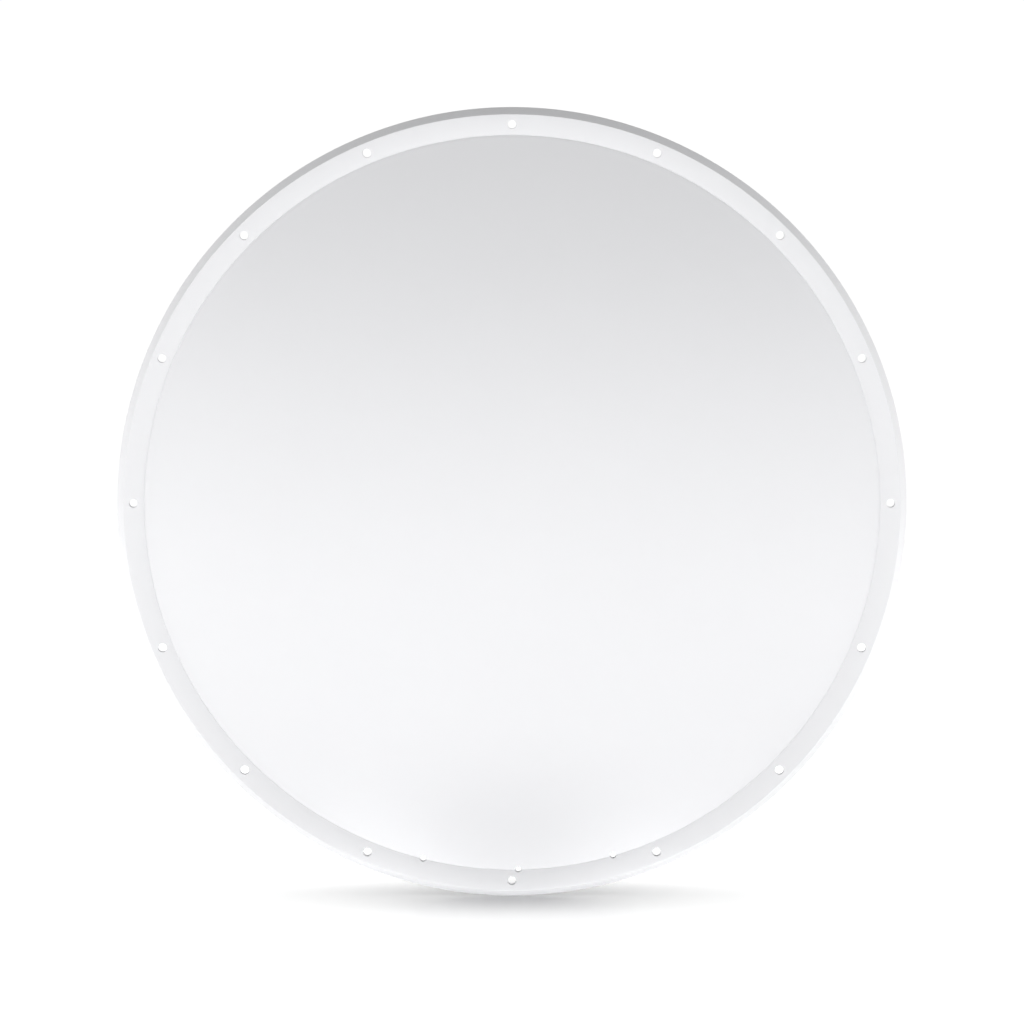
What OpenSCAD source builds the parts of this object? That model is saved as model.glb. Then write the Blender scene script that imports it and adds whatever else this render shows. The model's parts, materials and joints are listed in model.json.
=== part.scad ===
// Radar dome antenna: a shallow moulded dome on a drilled rim, a rear pan bolted
// behind it, and a slotted waveguide array that turns between the two.
// Everything is drawn with the dome's axis along local +Z and is then stood on
// its rim: local +Z becomes -Y, local +Y becomes +Z, and the seat of the rim bolts
// on the back of the pan flange becomes the plane Y = 0.

/* [Rim] */
// Outside diameter over the skirt
rim_d = 650; // [640:1:660]
// Diameter of the rim's bolt circle
bolt_pcd = 622; // [621:0.5:623]
// Number of rim holes
bolt_n = 16; // [16]
// Diameter of each rim hole
bolt_hole_d = 7; // [6.6:0.1:7.5]
// Thickness of the dome's rim flange
flange_t = 4; // [3.5:0.1:4.2]

/* [Dome] */
// Diameter where the dome meets the rim flange
dome_d = 605.2; // [600:0.2:606]
// Height of the dome above the flange
dome_h = 100; // [92:1:108]
// Wall thickness of the dome
dome_t = 4; // [3:0.25:4]
// Diameter of the three drain holes
drain_d = 5; // [4:0.5:5]
// Angle between neighbouring drain holes
drain_step = 15; // [13:1:17]

/* [Rear pan] */
// Depth of the pan floor behind the flange
pan_depth = 130; // [130:1:134]
// Wall thickness of the pan
pan_t = 5; // [4:0.5:5]
// Height of the mounting feet
foot_h = 20; // [20:1:26]
// Foot spacing across
foot_x = 220; // [200:5:230]
// Foot spacing up
foot_y = 180; // [170:5:190]

/* [Array] */
// Length of the rotating array
array_len = 516; // [440:2:516]
// Height of the rotating array
array_h = 50; // [44:1:50]

/* [Drive] */
// Gear module
gear_m = 1.5; // [1.5]
// Teeth on the main gear
main_z = 96; // [96]
// Teeth on the idler
idler_z = 32; // [32]
// Teeth on the motor pinion
pinion_z = 16; // [16]
// Backlash at the pitch circle
backlash = 0.3; // [0.2:0.05:0.4]

/* [Hidden] */
$fn = 96;
e = 0.01;

rim_r = rim_d / 2;
bolt_r = bolt_pcd / 2;
dome_r = dome_d / 2;
crown = flange_t + 0.4;
Rs = (dome_r * dome_r + dome_h * dome_h) / (2 * dome_h);
zc = flange_t + dome_h - Rs;
drain_a = -89;
screw_r = 288;
screw_n = 8;
pz = -pan_depth;
fz = pz - foot_h;
chas_top = -76;
chas_bot = -80;
gz0 = -50;
gz1 = -44;
main_r = gear_m * main_z / 2;
idler_d = gear_m * (main_z + idler_z) / 2;
pin_d = gear_m * (idler_z + pinion_z) / 2;
idler_pos = [-idler_d, 0];
pin_dir = 225;
pin_pos = [idler_pos[0] + pin_d * cos(pin_dir), idler_pos[1] + pin_d * sin(pin_dir)];
ball_pr = 21.25;
ball_r = 3.4;
ball_n = 12;
ub = -59.5;
lb = -95.5;
az0 = -30;
az1 = az0 + array_h;
con_x = 38;
con_y = -150;

white = [0.93, 0.93, 0.94];
offwhite = [0.86, 0.86, 0.87];
alu = [0.72, 0.73, 0.75];
steel = [0.62, 0.63, 0.65];
brass = [0.78, 0.62, 0.3];
black = [0.1, 0.1, 0.11];
green = [0.05, 0.3, 0.16];

module stand() { translate([0, -7, 0]) rotate([90, 0, 0]) children(); }
module ring_at(n, r, a0 = 0) { for (i = [0 : n - 1]) rotate([0, 0, a0 + i * 360 / n]) translate([r, 0, 0]) children(); }
module tube(ro, ri, z0, z1) {
  difference() {
    translate([0, 0, z0]) cylinder(r = ro, h = z1 - z0);
    translate([0, 0, z0 - 1]) cylinder(r = ri, h = z1 - z0 + 2);
  }
}
module rod(r, z0, z1) { translate([0, 0, z0]) cylinder(r = r, h = z1 - z0); }
module box(x0, x1, y0, y1, z0, z1) { translate([x0, y0, z0]) cube([x1 - x0, y1 - y0, z1 - z0]); }
// pan head screw, head towards +z at z, shank down
module screw_up(r, len, hr, hh, z) { rod(r, z - len, z + e); difference() { rod(hr, z, z + hh); rod(r * 0.6, z + hh * 0.45, z + hh + 1, $fn = 6); } }
// pan head screw, head towards -z at z, shank up
module screw_down(r, len, hr, hh, z) { rod(r, z - e, z + len); difference() { rod(hr, z - hh, z); translate([0, 0, z - hh - 1]) cylinder(r = r * 0.6, h = 1 + hh * 0.55, $fn = 6); } }
// straight run of round wire from a to b
module run(a, b, r) {
  v = b - a;
  l = norm(v);
  translate(a) rotate([0, acos(v[2] / l), atan2(v[1], v[0])]) cylinder(r = r, h = l, $fn = 24);
}
module wire(p, r) {
  for (i = [0 : len(p) - 2]) {
    u = (p[i + 1] - p[i]) / norm(p[i + 1] - p[i]);
    run(p[i] - u * (i > 0 ? r * 0.6 : 0), p[i + 1] + u * (i < len(p) - 2 ? r * 0.6 : 0), i % 2 == 0 ? r : r * 0.95);
  }
}

// involute gear outline, a tooth centred on angle a0
function inv(a) = tan(a) * 180 / PI - a;
function polar(r, a) = [r * cos(a), r * sin(a)];
function gear_pts(z, a0) =
  let (rp = gear_m * z / 2, rb = rp * cos(20), ra = rp + gear_m * 0.95, rf = rp - gear_m * 1.25,
       half = 90 / z - backlash / 2 / rp * 90 / PI, r0 = max(rb, rf) + 0.001, n = 4)
  [for (i = [0 : z - 1]) let (t = a0 + i * 360 / z)
    each concat(
      [polar(rf, t - half - inv(20) + inv(acos(rb / r0)) - (r0 > rf + 0.01 ? 0.3 : 0))],
      [for (k = [0 : n]) let (r = r0 + (ra - r0) * k / n) polar(r, t - (half + inv(20) - inv(acos(rb / r))))],
      [for (k = [n : -1 : 0]) let (r = r0 + (ra - r0) * k / n) polar(r, t + (half + inv(20) - inv(acos(rb / r))))],
      [polar(rf, t + half + inv(20) - inv(acos(rb / r0)) + (r0 > rf + 0.01 ? 0.3 : 0))])];
module gear(z, a0, h) { linear_extrude(height = h) polygon(gear_pts(z, a0)); }

// ---------- shells ----------
module radome() {
  color(white) stand() difference() {
    union() {
      intersection() {
        difference() {
          translate([0, 0, zc]) sphere(r = Rs, $fn = 200);
          translate([0, 0, zc]) sphere(r = Rs - dome_t, $fn = 200);
        }
        rod(dome_r, 0, dome_h + 20);
      }
      rotate_extrude($fn = 200) polygon([
        [296, 0], [296, flange_t + 0.9], [300, flange_t + 0.8], [dome_r, flange_t - 0.4],
        [303.6, crown - 0.15], [306, crown], [309, crown - 0.05], [312, crown - 0.25], [315, crown - 0.6],
        [317.5, crown - 1.1], [319.2, crown - 1.6], [rim_r - 0.6, -13.2], [rim_r, -14.2], [rim_r - 0.4, -15],
        [rim_r - 2.6, -15], [rim_r - 3, -14.6], [318.3, -0.6], [317.7, 0]]);
      intersection() {
        ring_at(screw_n, screw_r, 11.25) rod(7, -2, 30);
        translate([0, 0, zc]) sphere(r = Rs - 1, $fn = 200);
      }
    }
    ring_at(bolt_n, bolt_r, 90) rod(bolt_hole_d / 2, -20, 20);
    ring_at(screw_n, screw_r, 11.25) rod(3.6, -3, 7);
    for (k = [-1 : 1]) rotate([0, 0, drain_a + k * drain_step]) translate([dome_r - 0.8, 0, 0]) rod(drain_d / 2, -5, 20);
  }
}
module radome_inserts() { color(brass) stand() ring_at(screw_n, screw_r, 11.25) tube(3.6, 2.5, -2, 7); }
module rim_gasket() {
  color(black) stand() difference() {
    tube(317, 297, -2, 0, $fn = 200);
    ring_at(bolt_n, bolt_r, 90) rod(4, -5, 5);
    for (k = [-1 : 1]) rotate([0, 0, drain_a + k * drain_step]) translate([dome_r - 0.8, 0, 0]) rod(drain_d / 2 + 0.2, -5, 20);
  }
}
module rear_pan() {
  color(offwhite) stand() difference() {
    union() {
      rotate_extrude($fn = 200) polygon([
        [0, pz + pan_t], [222, pz + pan_t], [236, pz + pan_t + 6], [256, -98], [266, -60], [273, -10], [274, -2],
        [317, -2], [317, -7], [280, -7], [278, -11], [271, -60], [261.5, -100], [241, pz + 4], [227, pz], [0, pz]]);
      // gussets under the rim
      ring_at(bolt_n, 0, 0) translate([0, 2, 0]) rotate([90, 0, 0]) linear_extrude(height = 4)
        polygon([[274, -6], [301, -6], [301, -9], [276, -34], [272, -34]]);
      // mounting feet
      for (x = [-1, 1]) for (y = [-1, 1]) translate([x * foot_x / 2, y * foot_y / 2, 0]) {
        rod(24, fz, pz + 1);
        rod(14, pz + 1, pz + pan_t + 4);
      }
      // raised seats for the connectors
      for (x = [-con_x, con_x]) translate([x, con_y, 0]) rod(20, pz - 3, pz + 1);
      // ribs on the pan floor
      for (a = [15, 45, 75, 105, 135, 165, 195, 225, 315, 345]) rotate([0, 0, a]) box(70, 224, -1.5, 1.5, pz + pan_t - 1, pz + pan_t + 5);
      tube(70, 67, pz + pan_t - 1, pz + pan_t + 5);
      // posts that carry the chassis plate
      ring_at(6, 182, 30) rod(8, pz + pan_t - 1, chas_bot);
    }
    ring_at(bolt_n, bolt_r, 90) rod(bolt_hole_d / 2, -20, 20);
    ring_at(screw_n, screw_r, 11.25) rod(2.7, -20, 20);
    for (x = [-1, 1]) for (y = [-1, 1]) translate([x * foot_x / 2, y * foot_y / 2, 0]) rod(6, fz - 1, fz + 20);
    ring_at(6, 182, 30) rod(2, chas_bot - 16, chas_bot + 1);
    for (x = [-con_x, con_x]) translate([x, con_y, 0]) rod(11, pz - 10, pz + 20);
    translate([104, -150, 0]) rod(5, pz - 10, pz + 20);
    translate([-104, -150, 0]) rod(3, pz - 10, pz + 20);
    for (k = [-1 : 1]) rotate([0, 0, drain_a + k * drain_step]) translate([dome_r - 0.8, 0, 0]) rod(drain_d / 2 + 0.2, -9, 20);
  }
}
module shell_screws() { color(steel) stand() ring_at(screw_n, screw_r, 11.25) screw_down(2.4, 12, 4.5, 3.2, -7); }
module mounting_inserts() {
  color(brass) stand() for (x = [-1, 1]) for (y = [-1, 1]) translate([x * foot_x / 2, y * foot_y / 2, 0]) tube(6, 3.4, fz, fz + 20);
}

// ---------- rear fittings ----------
module bulkhead(pins) {
  difference() {
    union() {
      rod(10.9, pz - 5, pz + 16);
      rod(16, pz - 6, pz - 3);
      rod(11, pz - 18, pz - 6);
    }
    rod(9, pz - 19, pz - 8);
    rod(8, pz + 11, pz + 20);
    for (i = [0 : pins - 1]) rotate([0, 0, i * 360 / pins]) translate([4.5, 0, 0]) rod(0.85, pz - 12, pz + 13, $fn = 24);
  }
  for (i = [0 : pins - 1]) rotate([0, 0, i * 360 / pins]) translate([4.5, 0, 0]) rod(0.8, pz - 15, pz + 14, $fn = 24);
}
module power_connector() { color(black) stand() translate([-con_x, con_y, 0]) bulkhead(4); }
module data_connector() { color(black) stand() translate([con_x, con_y, 0]) bulkhead(6); }
module connector_nuts() {
  color(steel) stand() for (x = [-con_x, con_x]) translate([x, con_y, 0]) difference() {
    translate([0, 0, pz + pan_t]) cylinder(r = 16, h = 4, $fn = 6);
    rod(10.9, pz + pan_t - 1, pz + pan_t + 6);
  }
}
module connector_caps() {
  color(black) stand() for (x = [-con_x, con_x]) translate([x, con_y, 0]) difference() {
    union() {
      rod(13.4, pz - 19.5, pz - 8);
      ring_at(12, 13.2) rod(0.9, pz - 19, pz - 8.5, $fn = 16);
    }
    rod(11.1, pz - 18, pz - 7);
  }
}
module vent_plug() {
  color(black) stand() translate([104, -150, 0]) {
    rod(4.9, pz - e, pz + 8);
    translate([0, 0, pz - 4]) cylinder(r = 9, h = 4, $fn = 6);
    difference() { rod(6.5, pz - 6, pz - 4); ring_at(6, 5, 30) rod(0.8, pz - 7, pz - 4.6, $fn = 16); }
  }
}
module ground_stud() {
  color(brass) stand() translate([-104, -150, 0]) {
    rod(2.95, pz - 15, pz + pan_t + 3);
    tube(6.2, 2.95, pz - 1.4, pz);
    difference() { translate([0, 0, pz - 6.6]) cylinder(r = 5.8, h = 5.2, $fn = 6); rod(2.95, pz - 7, pz); }
    difference() { translate([0, 0, pz + pan_t]) cylinder(r = 5.8, h = 5, $fn = 6); rod(2.95, pz + pan_t - 1, pz + pan_t + 7); }
  }
}

// ---------- chassis and bearings ----------
module chassis_plate() {
  color(alu) stand() difference() {
    rod(196, chas_bot, chas_top);
    rod(34, chas_bot - 1, chas_top + 1);
    ring_at(6, 182, 30) rod(2.5, chas_bot - 1, chas_top + 1);
    ring_at(6, 44, 0) rod(2, chas_bot - 1, chas_top + 1);
    translate(pin_pos) rod(11.2, chas_bot - 1, chas_top + 1);
    translate(pin_pos) for (a = [45 : 90 : 315]) rotate([0, 0, a]) translate([21.9, 0, 0]) rod(1.7, chas_bot - 1, chas_top + 1);
    translate(idler_pos) rod(5, chas_bot - 1, chas_top + 1);
    // lightening windows
    for (a = [60, 120]) rotate([0, 0, a + 180]) translate([78, 0, 0]) rod(14, chas_bot - 1, chas_top + 1);
    rotate([0, 0, 62]) translate([166, 0, 0]) rod(14, chas_bot - 1, chas_top + 1);
    rotate([0, 0, 150]) translate([140, 0, 0]) rod(22, chas_bot - 1, chas_top + 1);
    // cable pass-throughs
    translate([12, 78, 0]) rod(7, chas_bot - 1, chas_top + 1);
    translate([88, -100, 0]) rod(9, chas_bot - 1, chas_top + 1);
  }
}
module chassis_screws() { color(steel) stand() ring_at(6, 182, 30) screw_up(1.9, 16, 4, 2.6, chas_top); }
module bearing_housing() {
  color(alu) stand() difference() {
    union() {
      rod(34, -104, chas_top);
      rod(52, chas_top, chas_top + 5);
      rod(36, chas_top + 5, -52);
      ring_at(6, 0, 30) box(34, 48, -2, 2, chas_top + 4, chas_top + 14);
    }
    rod(27.5, -105, lb + 6.5);
    rod(27.5, ub - 6.5, -50);
    rod(25, -100, -60);
    ring_at(6, 44, 0) rod(2, chas_bot - 1, chas_top + 6);
  }
}
module housing_screws() {
  color(steel) stand() ring_at(6, 44, 0) {
    screw_up(1.9, 13, 3.8, 2.6, chas_top + 5);
    difference() { translate([0, 0, chas_bot - 3]) cylinder(r = 4, h = 3, $fn = 6); rod(1.9, chas_bot - 4, chas_bot + 1); }
  }
}
module outer_race(z) {
  difference() {
    tube(27.5, 23.9, z - 6.5, z + 6.5);
    translate([0, 0, z]) rotate_extrude() translate([ball_pr, 0]) circle(r = 3.65, $fn = 48);
  }
}
module inner_race(z) {
  difference() {
    tube(18.6, 15, z - 6.5, z + 6.5);
    translate([0, 0, z]) rotate_extrude() translate([ball_pr, 0]) circle(r = 3.65, $fn = 48);
  }
}
module ball_cage(z) {
  ring_at(ball_n, ball_pr) translate([0, 0, z]) sphere(r = ball_r, $fn = 32);
  tube(21.9, 20.6, z - 1.6, z + 1.6);
}
module upper_outer_race() { color(steel) stand() outer_race(ub); }
module upper_inner_race() { color(steel) stand() inner_race(ub); }
module upper_ball_cage() { color(steel) stand() ball_cage(ub); }
module lower_outer_race() { color(steel) stand() outer_race(lb); }
module lower_inner_race() { color(steel) stand() inner_race(lb); }
module lower_ball_cage() { color(steel) stand() ball_cage(lb); }
module housing_circlip() {
  color(steel) stand() difference() {
    tube(27.5, 24.6, lb - 8, lb - 6.5);
    box(20, 30, -3, 3, lb - 9, lb - 6);
  }
}
module race_spacer() { color(steel) stand() tube(18, 15, lb + 6.5, ub - 6.5); }
module spindle() {
  color(steel) stand() difference() {
    union() { rod(15, -109, gz1 + 4); rod(32, gz1, gz1 + 4); }
    rod(6.6, -110, gz1 + 5);
    ring_at(6, 26, 0) rod(1.6, gz1 - 1, gz1 + 3);
    ring_at(4, 24, 45) rod(2, gz1 - 1, gz1 + 5);
  }
}
module spindle_nut() {
  color(steel) stand() difference() {
    rod(20, -107, lb - 6.5);
    rod(15, -108, -100);
    ring_at(4, 20) rod(2, -108, -100, $fn = 24);
  }
}

// ---------- gear train ----------
module main_gear() {
  color(brass) stand() difference() {
    union() { translate([0, 0, gz0]) gear(main_z, 0, gz1 - gz0); rod(18, gz0 - 3, gz0 + e); }
    rod(15, gz0 - 4, gz1 + 1);
    ring_at(6, 26, 0) rod(1.7, gz0 - 4, gz1 + 1);
    ring_at(6, 49, 0) rod(12, gz0 - 4, gz1 + 1);
    rotate([0, 0, 30]) translate([60, 0, 0]) rod(3, gz0 - 1, gz0 + 3);
    ring_at(4, 24, 45) rod(3, gz0 - 1, gz1 + 1);
  }
}
module gear_screws() { color(steel) stand() ring_at(6, 26, 0) screw_down(1.5, 8.5, 2.8, 1.6, gz0); }
module idler_gear() {
  color(offwhite) stand() translate(idler_pos) difference() {
    union() { translate([0, 0, gz0]) gear(idler_z, 180 / idler_z, gz1 - gz0); }
    rod(5.05, gz0 - 1, gz1 + 1);
    ring_at(5, 14) rod(4, gz0 - 1, gz1 + 1);
  }
}
module idler_post() {
  color(steel) stand() translate(idler_pos) { rod(5, chas_bot - 4, gz1 + 3); rod(8, chas_top, gz0 - 0.3); tube(8, 5, chas_bot - 3, chas_bot); }
}
module idler_clip() { color(steel) stand() translate(idler_pos) difference() { tube(8, 5, gz1 + 0.3, gz1 + 1.5); box(2, 10, -1.5, 1.5, gz1, gz1 + 3); } }
module drive_pinion() {
  // an idler gap faces the pinion, so a pinion tooth is centred on the line of centres
  idler_phase = 180 / idler_z;
  gap = pin_dir;
  k = round((gap - idler_phase) / (360 / idler_z) - 0.5) + 0.5;
  off = gap - (idler_phase + k * 360 / idler_z);
  color(steel) stand() translate(pin_pos) difference() {
    union() { translate([0, 0, gz0 - 1]) gear(pinion_z, pin_dir + 180 + off * idler_z / pinion_z, gz1 - gz0 + 2); rod(8, gz0 - 7, gz0 - 1 + e); }
    rod(2.5, gz0 - 8, gz1 + 2);
  }
}
module motor_shaft() { color(steel) stand() translate(pin_pos) rod(2.5, -116, gz1 + 1); }
module motor_body() {
  color(black) stand() translate(pin_pos) difference() {
    intersection() { box(-21, 21, -21, 21, -110, -88); rotate([0, 0, 45]) box(-26, 26, -26, 26, -110, -88); }
    rod(2.8, -111, -87);
  }
}
module motor_end_caps() {
  color(alu) stand() translate(pin_pos) difference() {
    union() {
      intersection() { box(-21, 21, -21, 21, -88, chas_bot); rotate([0, 0, 45]) box(-27, 27, -27, 27, -88, chas_bot); }
      rod(11, chas_bot - e, chas_bot + 2);
      intersection() { box(-21, 21, -21, 21, -118, -110); rotate([0, 0, 45]) box(-27, 27, -27, 27, -118, -110); }
    }
    rod(2.8, -117, chas_top);
    for (a = [45 : 90 : 315]) rotate([0, 0, a]) translate([21.9, 0, 0]) rod(1.5, chas_bot - 5, chas_bot + 1);
  }
}
module motor_screws() {
  color(steel) stand() translate(pin_pos) for (a = [45 : 90 : 315]) rotate([0, 0, a]) translate([21.9, 0, 0]) screw_up(1.4, 8.5, 2.75, 2, chas_top);
}
module index_magnet() { color(steel) stand() rotate([0, 0, 30]) translate([60, 0, 0]) rod(3, gz0 + 0.2, gz0 + 3); }
module index_sensor() {
  color(green) stand() rotate([0, 0, 30]) translate([60, 0, 0]) {
    rod(3, chas_top, -56);
    box(-5, 14, -6, 6, -56, -54.6);
    box(-2, 2, -2, 2, -54.6, -52.6);
  }
}

// ---------- rotary joint ----------
module rotary_joint_stator() {
  color(brass) stand() difference() {
    union() { rod(14, pz + pan_t + 1, -111); rod(22, pz + pan_t, pz + pan_t + 4); translate([0, 0, -116]) rotate([-90, 0, 0]) cylinder(r = 3.4, h = 24); }
    rod(5.6, -119, -110);
    translate([0, 16, -116]) rotate([-90, 0, 0]) cylinder(r = 1.75, h = 12);
  }
}
module rotary_joint_probe() {
  color(brass) stand() difference() { union() { rod(5, -118, gz1 + 4); rod(6.6, -109, -104); rod(6.6, -52, gz1 + 4); } rod(3.2, -117, gz1 + 5); }
}

// ---------- rotating array ----------
module antenna_bracket() {
  color(alu) stand() difference() {
    union() {
      box(-62, 62, -26, 26, gz1 + 4, gz1 + 8);
      for (x = [-1, 1]) box(x * 53 - 9, x * 53 + 9, -26, 26, gz1 + 7, az0);
    }
    rod(10, gz1, gz1 + 10);
    ring_at(4, 24, 45) rod(2.1, gz1, gz1 + 10);
    for (x = [-53, 53]) for (y = [-16, 16]) translate([x, y, 0]) rod(2.1, gz1, 0);
  }
}
module bracket_screws() { color(steel) stand() ring_at(4, 24, 45) screw_up(1.9, 11, 3.6, 2.4, gz1 + 8); }
module array_casting() {
  // open channel behind the waveguide, flared to a mouth on the +y side
  color(alu) stand() difference() {
    union() {
      translate([-array_len / 2, 0, 0]) rotate([90, 0, 90]) linear_extrude(height = array_len) polygon([
        [-24, az0], [10, az0], [26, az0], [26, az0 + 2.5], [12, az0 + 9], [-8, az0 + 9], [-8, az0 + 2.5 + 9], [-21, az0 + 2.5 + 9],
        [-21, az1 - 2.5 - 9], [-8, az1 - 2.5 - 9], [-8, az1 - 9], [12, az1 - 9], [26, az1 - 2.5], [26, az1], [-24, az1]]);
      for (i = [-4 : 4]) if (i != 0) box(i * 56 - 1.2, i * 56 + 1.2, -21.5, -15.8, az0 + 11, az1 - 11);
    }
    for (x = [-53, 53]) for (y = [-16, 16]) translate([x, y, 0]) rod(1.7, az0 - 1, az0 + 8);
    rod(7, az0 - 1, az0 + 14);
    for (s = [-1, 1]) for (z = [az0 + 5, az1 - 5]) translate([s * array_len / 2, -14, z]) rotate([0, 90, 0]) cylinder(r = 1.3, h = 16, center = true);
    for (i = [-3 : 3]) translate([i * 70, -30, (az0 + az1) / 2]) rotate([-90, 0, 0]) cylinder(r = 9, h = 12);
  }
}
module slotted_waveguide() {
  gl = array_len - 12;
  gy0 = -15.8;
  gy1 = 12;
  c = (az0 + az1) / 2;
  color(brass) stand() difference() {
    box(-gl / 2, gl / 2, gy0, gy1, c - 6.5, c + 6.5);
    difference() { box(-gl / 2 + 3, gl / 2 - 3, gy0 + 1.3, gy1 - 1.3, c - 5.1, c + 5.1); }
    for (i = [-13 : 13]) if (i != 0) translate([i * 18, gy1, c]) rotate([0, (i % 2 == 0 ? 18 : -18), 0]) box(-1.1, 1.1, -3, 2, -4.6, 4.6);
    translate([0, gy0 + 8, 0]) rod(3.5, az0, c - 3);
  }
}
module array_window() {
  c0 = az0 + 0;
  color(white) stand() difference() {
    translate([-array_len / 2, 0, 0]) rotate([90, 0, 90]) linear_extrude(height = array_len)
      polygon([[26, az0], [29.4, az0 + 3], [30.4, az0 + 12], [30.8, (az0 + az1) / 2], [30.4, az1 - 12], [29.4, az1 - 3], [26, az1]]);
    translate([-array_len / 2 + 4, 0, 0]) rotate([90, 0, 90]) linear_extrude(height = array_len - 8)
      polygon([[25, az0 + 3.5], [27.2, az0 + 5], [28.2, az0 + 12], [28.6, (az0 + az1) / 2], [28.2, az1 - 12], [27.2, az1 - 5], [25, az1 - 3.5]]);
  }
}
module array_end_caps() {
  color(black) stand() for (s = [-1, 1]) difference() {
    translate([s > 0 ? array_len / 2 : -array_len / 2 - 4, 0, 0]) rotate([90, 0, 90]) linear_extrude(height = 4)
      polygon([[-24, az0], [26, az0], [29.4, az0 + 3], [30.8, (az0 + az1) / 2], [29.4, az1 - 3], [26, az1], [-24, az1]]);
    for (z = [az0 + 5, az1 - 5]) translate([s * array_len / 2, -14, z]) rotate([0, 90, 0]) cylinder(r = 1.4, h = 16, center = true);
  }
}
module array_screws() {
  color(steel) stand() {
    for (x = [-53, 53]) for (y = [-16, 16]) translate([x, y, 0]) screw_down(1.6, 11, 3.4, 2.2, gz1 + 4);
    for (s = [-1, 1]) for (z = [az0 + 5, az1 - 5]) translate([s * (array_len / 2 + 4), -14, z]) rotate([0, s * 90, 0]) screw_up(1.2, 9, 2.4, 1.6, 0);
  }
}
module waveguide_feed() {
  c = (az0 + az1) / 2;
  color(brass) stand() difference() {
    union() {
      rod(9, gz1 + 4, gz1 + 7.5);
      rod(4.4, gz1 + 7, az0 + 12.5);
      box(-4, 4, -11.8, 3.4, az0 + 11.5, c - 6.5);
      translate([0, -7.8, 0]) rod(2, c - 7, c + 1.5);
    }
    rod(3.2, gz1, gz1 + 6);
  }
}

// ---------- electronics ----------
module transceiver_case() {
  color(alu) stand() difference() {
    union() {
      box(-88, 88, 92, 168, chas_top, -51);
      for (i = [0 : 7]) box(-80 + i * 10, -77 + i * 10, 168, 176, chas_top + 2, -53);
      for (i = [0 : 7]) box(7 + i * 10, 10 + i * 10, 168, 174, chas_top + 2, -53);
    }
    difference() {
      box(-85, 85, 95, 165, chas_top + 3, -50);
      for (x = [-81, 0, 81]) for (y = [99, 161]) translate([x, y, 0]) rod(4.5, chas_top, -50);
      box(-18, -15.5, 94, 166, chas_top, -54);
    }
    for (x = [-81, 0, 81]) for (y = [99, 161]) translate([x, y, 0]) rod(1.5, -64, -50);
    translate([12, 90, -62]) rotate([-90, 0, 0]) cylinder(r = 1.7, h = 8);
  }
}
module transceiver_lid() {
  color(alu) stand() difference() {
    union() { box(-88, 88, 92, 168, -51, -49); box(-60, 60, 110, 150, -49.5, -48); }
    for (x = [-81, 0, 81]) for (y = [99, 161]) translate([x, y, 0]) rod(1.7, -52, -48);
  }
}
module lid_screws() { color(steel) stand() for (x = [-81, 0, 81]) for (y = [99, 161]) translate([x, y, 0]) screw_up(1.4, 10, 2.8, 1.8, -49); }
module board(x0, x1, y0, y1) {
  difference() {
    box(x0, x1, y0, y1, -70, -68.4);
    for (x = [x0 + 5, x1 - 5]) for (y = [y0 + 5, y1 - 5]) translate([x, y, 0]) rod(1.6, -71, -68);
  }
}
pb = [-62, 78, -172, -104];
cb = [102, 170, -50, 58];
module power_board() { color(green) stand() board(pb[0], pb[1], pb[2], pb[3]); }
module control_board() { color(green) stand() board(cb[0], cb[1], cb[2], cb[3]); }
module power_parts() {
  color(black) stand() {
    for (x = [-44, -30]) translate([x, -160, 0]) rod(5.5, -68.4, -52);
    translate([-44, -142, 0]) rod(5.5, -68.4, -52);
    difference() { box(-20, 12, -160, -130, -68.4, -54); box(-21, -12, -151, -139, -69, -50); box(4, 13, -151, -139, -69, -50); }
    translate([32, -142, 0]) tube(11, 5, -68.4, -60);
    box(50, 64, -166, -150, -68.4, -58);
    box(50, 54, -144, -132, -68.4, -52);
    box(58, 62, -144, -132, -68.4, -52);
    box(-56, -40, -130, -112, -68.4, -60);
    box(-30, -6, -122, -112, -68.4, -62);
    for (i = [0 : 4]) box(2 + i * 7, 6 + i * 7, -118, -112, -68.4, -66);
    box(62, 74, -124, -112, -68.4, -59);
  }
}
module control_parts() {
  color(black) stand() {
    box(124, 148, -8, 16, -68.4, -66);
    box(112, 124, 28, 40, -68.4, -66.4);
    box(136, 156, 30, 42, -68.4, -66.8);
    box(118, 136, -38, -26, -68.4, -60);
    box(144, 162, -38, -26, -68.4, -60);
    for (i = [0 : 5]) box(112, 115, -14 + i * 6, -11 + i * 6, -68.4, -67);
    for (i = [0 : 3]) box(155, 160, -14 + i * 9, -10 + i * 9, -68.4, -66.6);
    translate([122, 50, 0]) rod(3, -68.4, -62);
    translate([140, 50, 0]) rod(4, -68.4, -60);
  }
}
module at_corners(b) { for (x = [b[0] + 5, b[1] - 5]) for (y = [b[2] + 5, b[3] - 5]) translate([x, y, 0]) children(); }
module board_standoffs() {
  color(brass) stand() for (b = [pb, cb]) at_corners(b) difference() {
    translate([0, 0, chas_top]) cylinder(r = 3.2, h = 6, $fn = 6);
    rod(1.4, chas_top + 1, -69);
  }
}
module board_screws() { color(steel) stand() for (b = [pb, cb]) at_corners(b) screw_up(1.3, 5.5, 2.7, 1.8, -68.4); }
module rf_coax() {
  color([0.75, 0.6, 0.35]) stand() wire([[0, 16, -116], [0, 62, -116], [12, 78, -106], [12, 78, -68], [12, 83, -62], [12, 94, -62]], 1.7);
}
module wiring_loom() {
  color(black) stand() {
    wire([[-con_x, con_y, pz + 11], [-con_x, con_y, pz + 20], [-20, -122, -100], [60, -104, -94], [88, -100, -90], [88, -100, -66], [84, -118, -63], [74, -118, -63]], 2.2);
    wire([[con_x, con_y, pz + 11], [con_x, con_y, pz + 20], [84, -112, -104], [91.5, -96, -96], [91.5, -96, -68], [110, -62, -64], [127, -50, -64], [127, -38, -64]], 2.2);
  }
}

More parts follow.
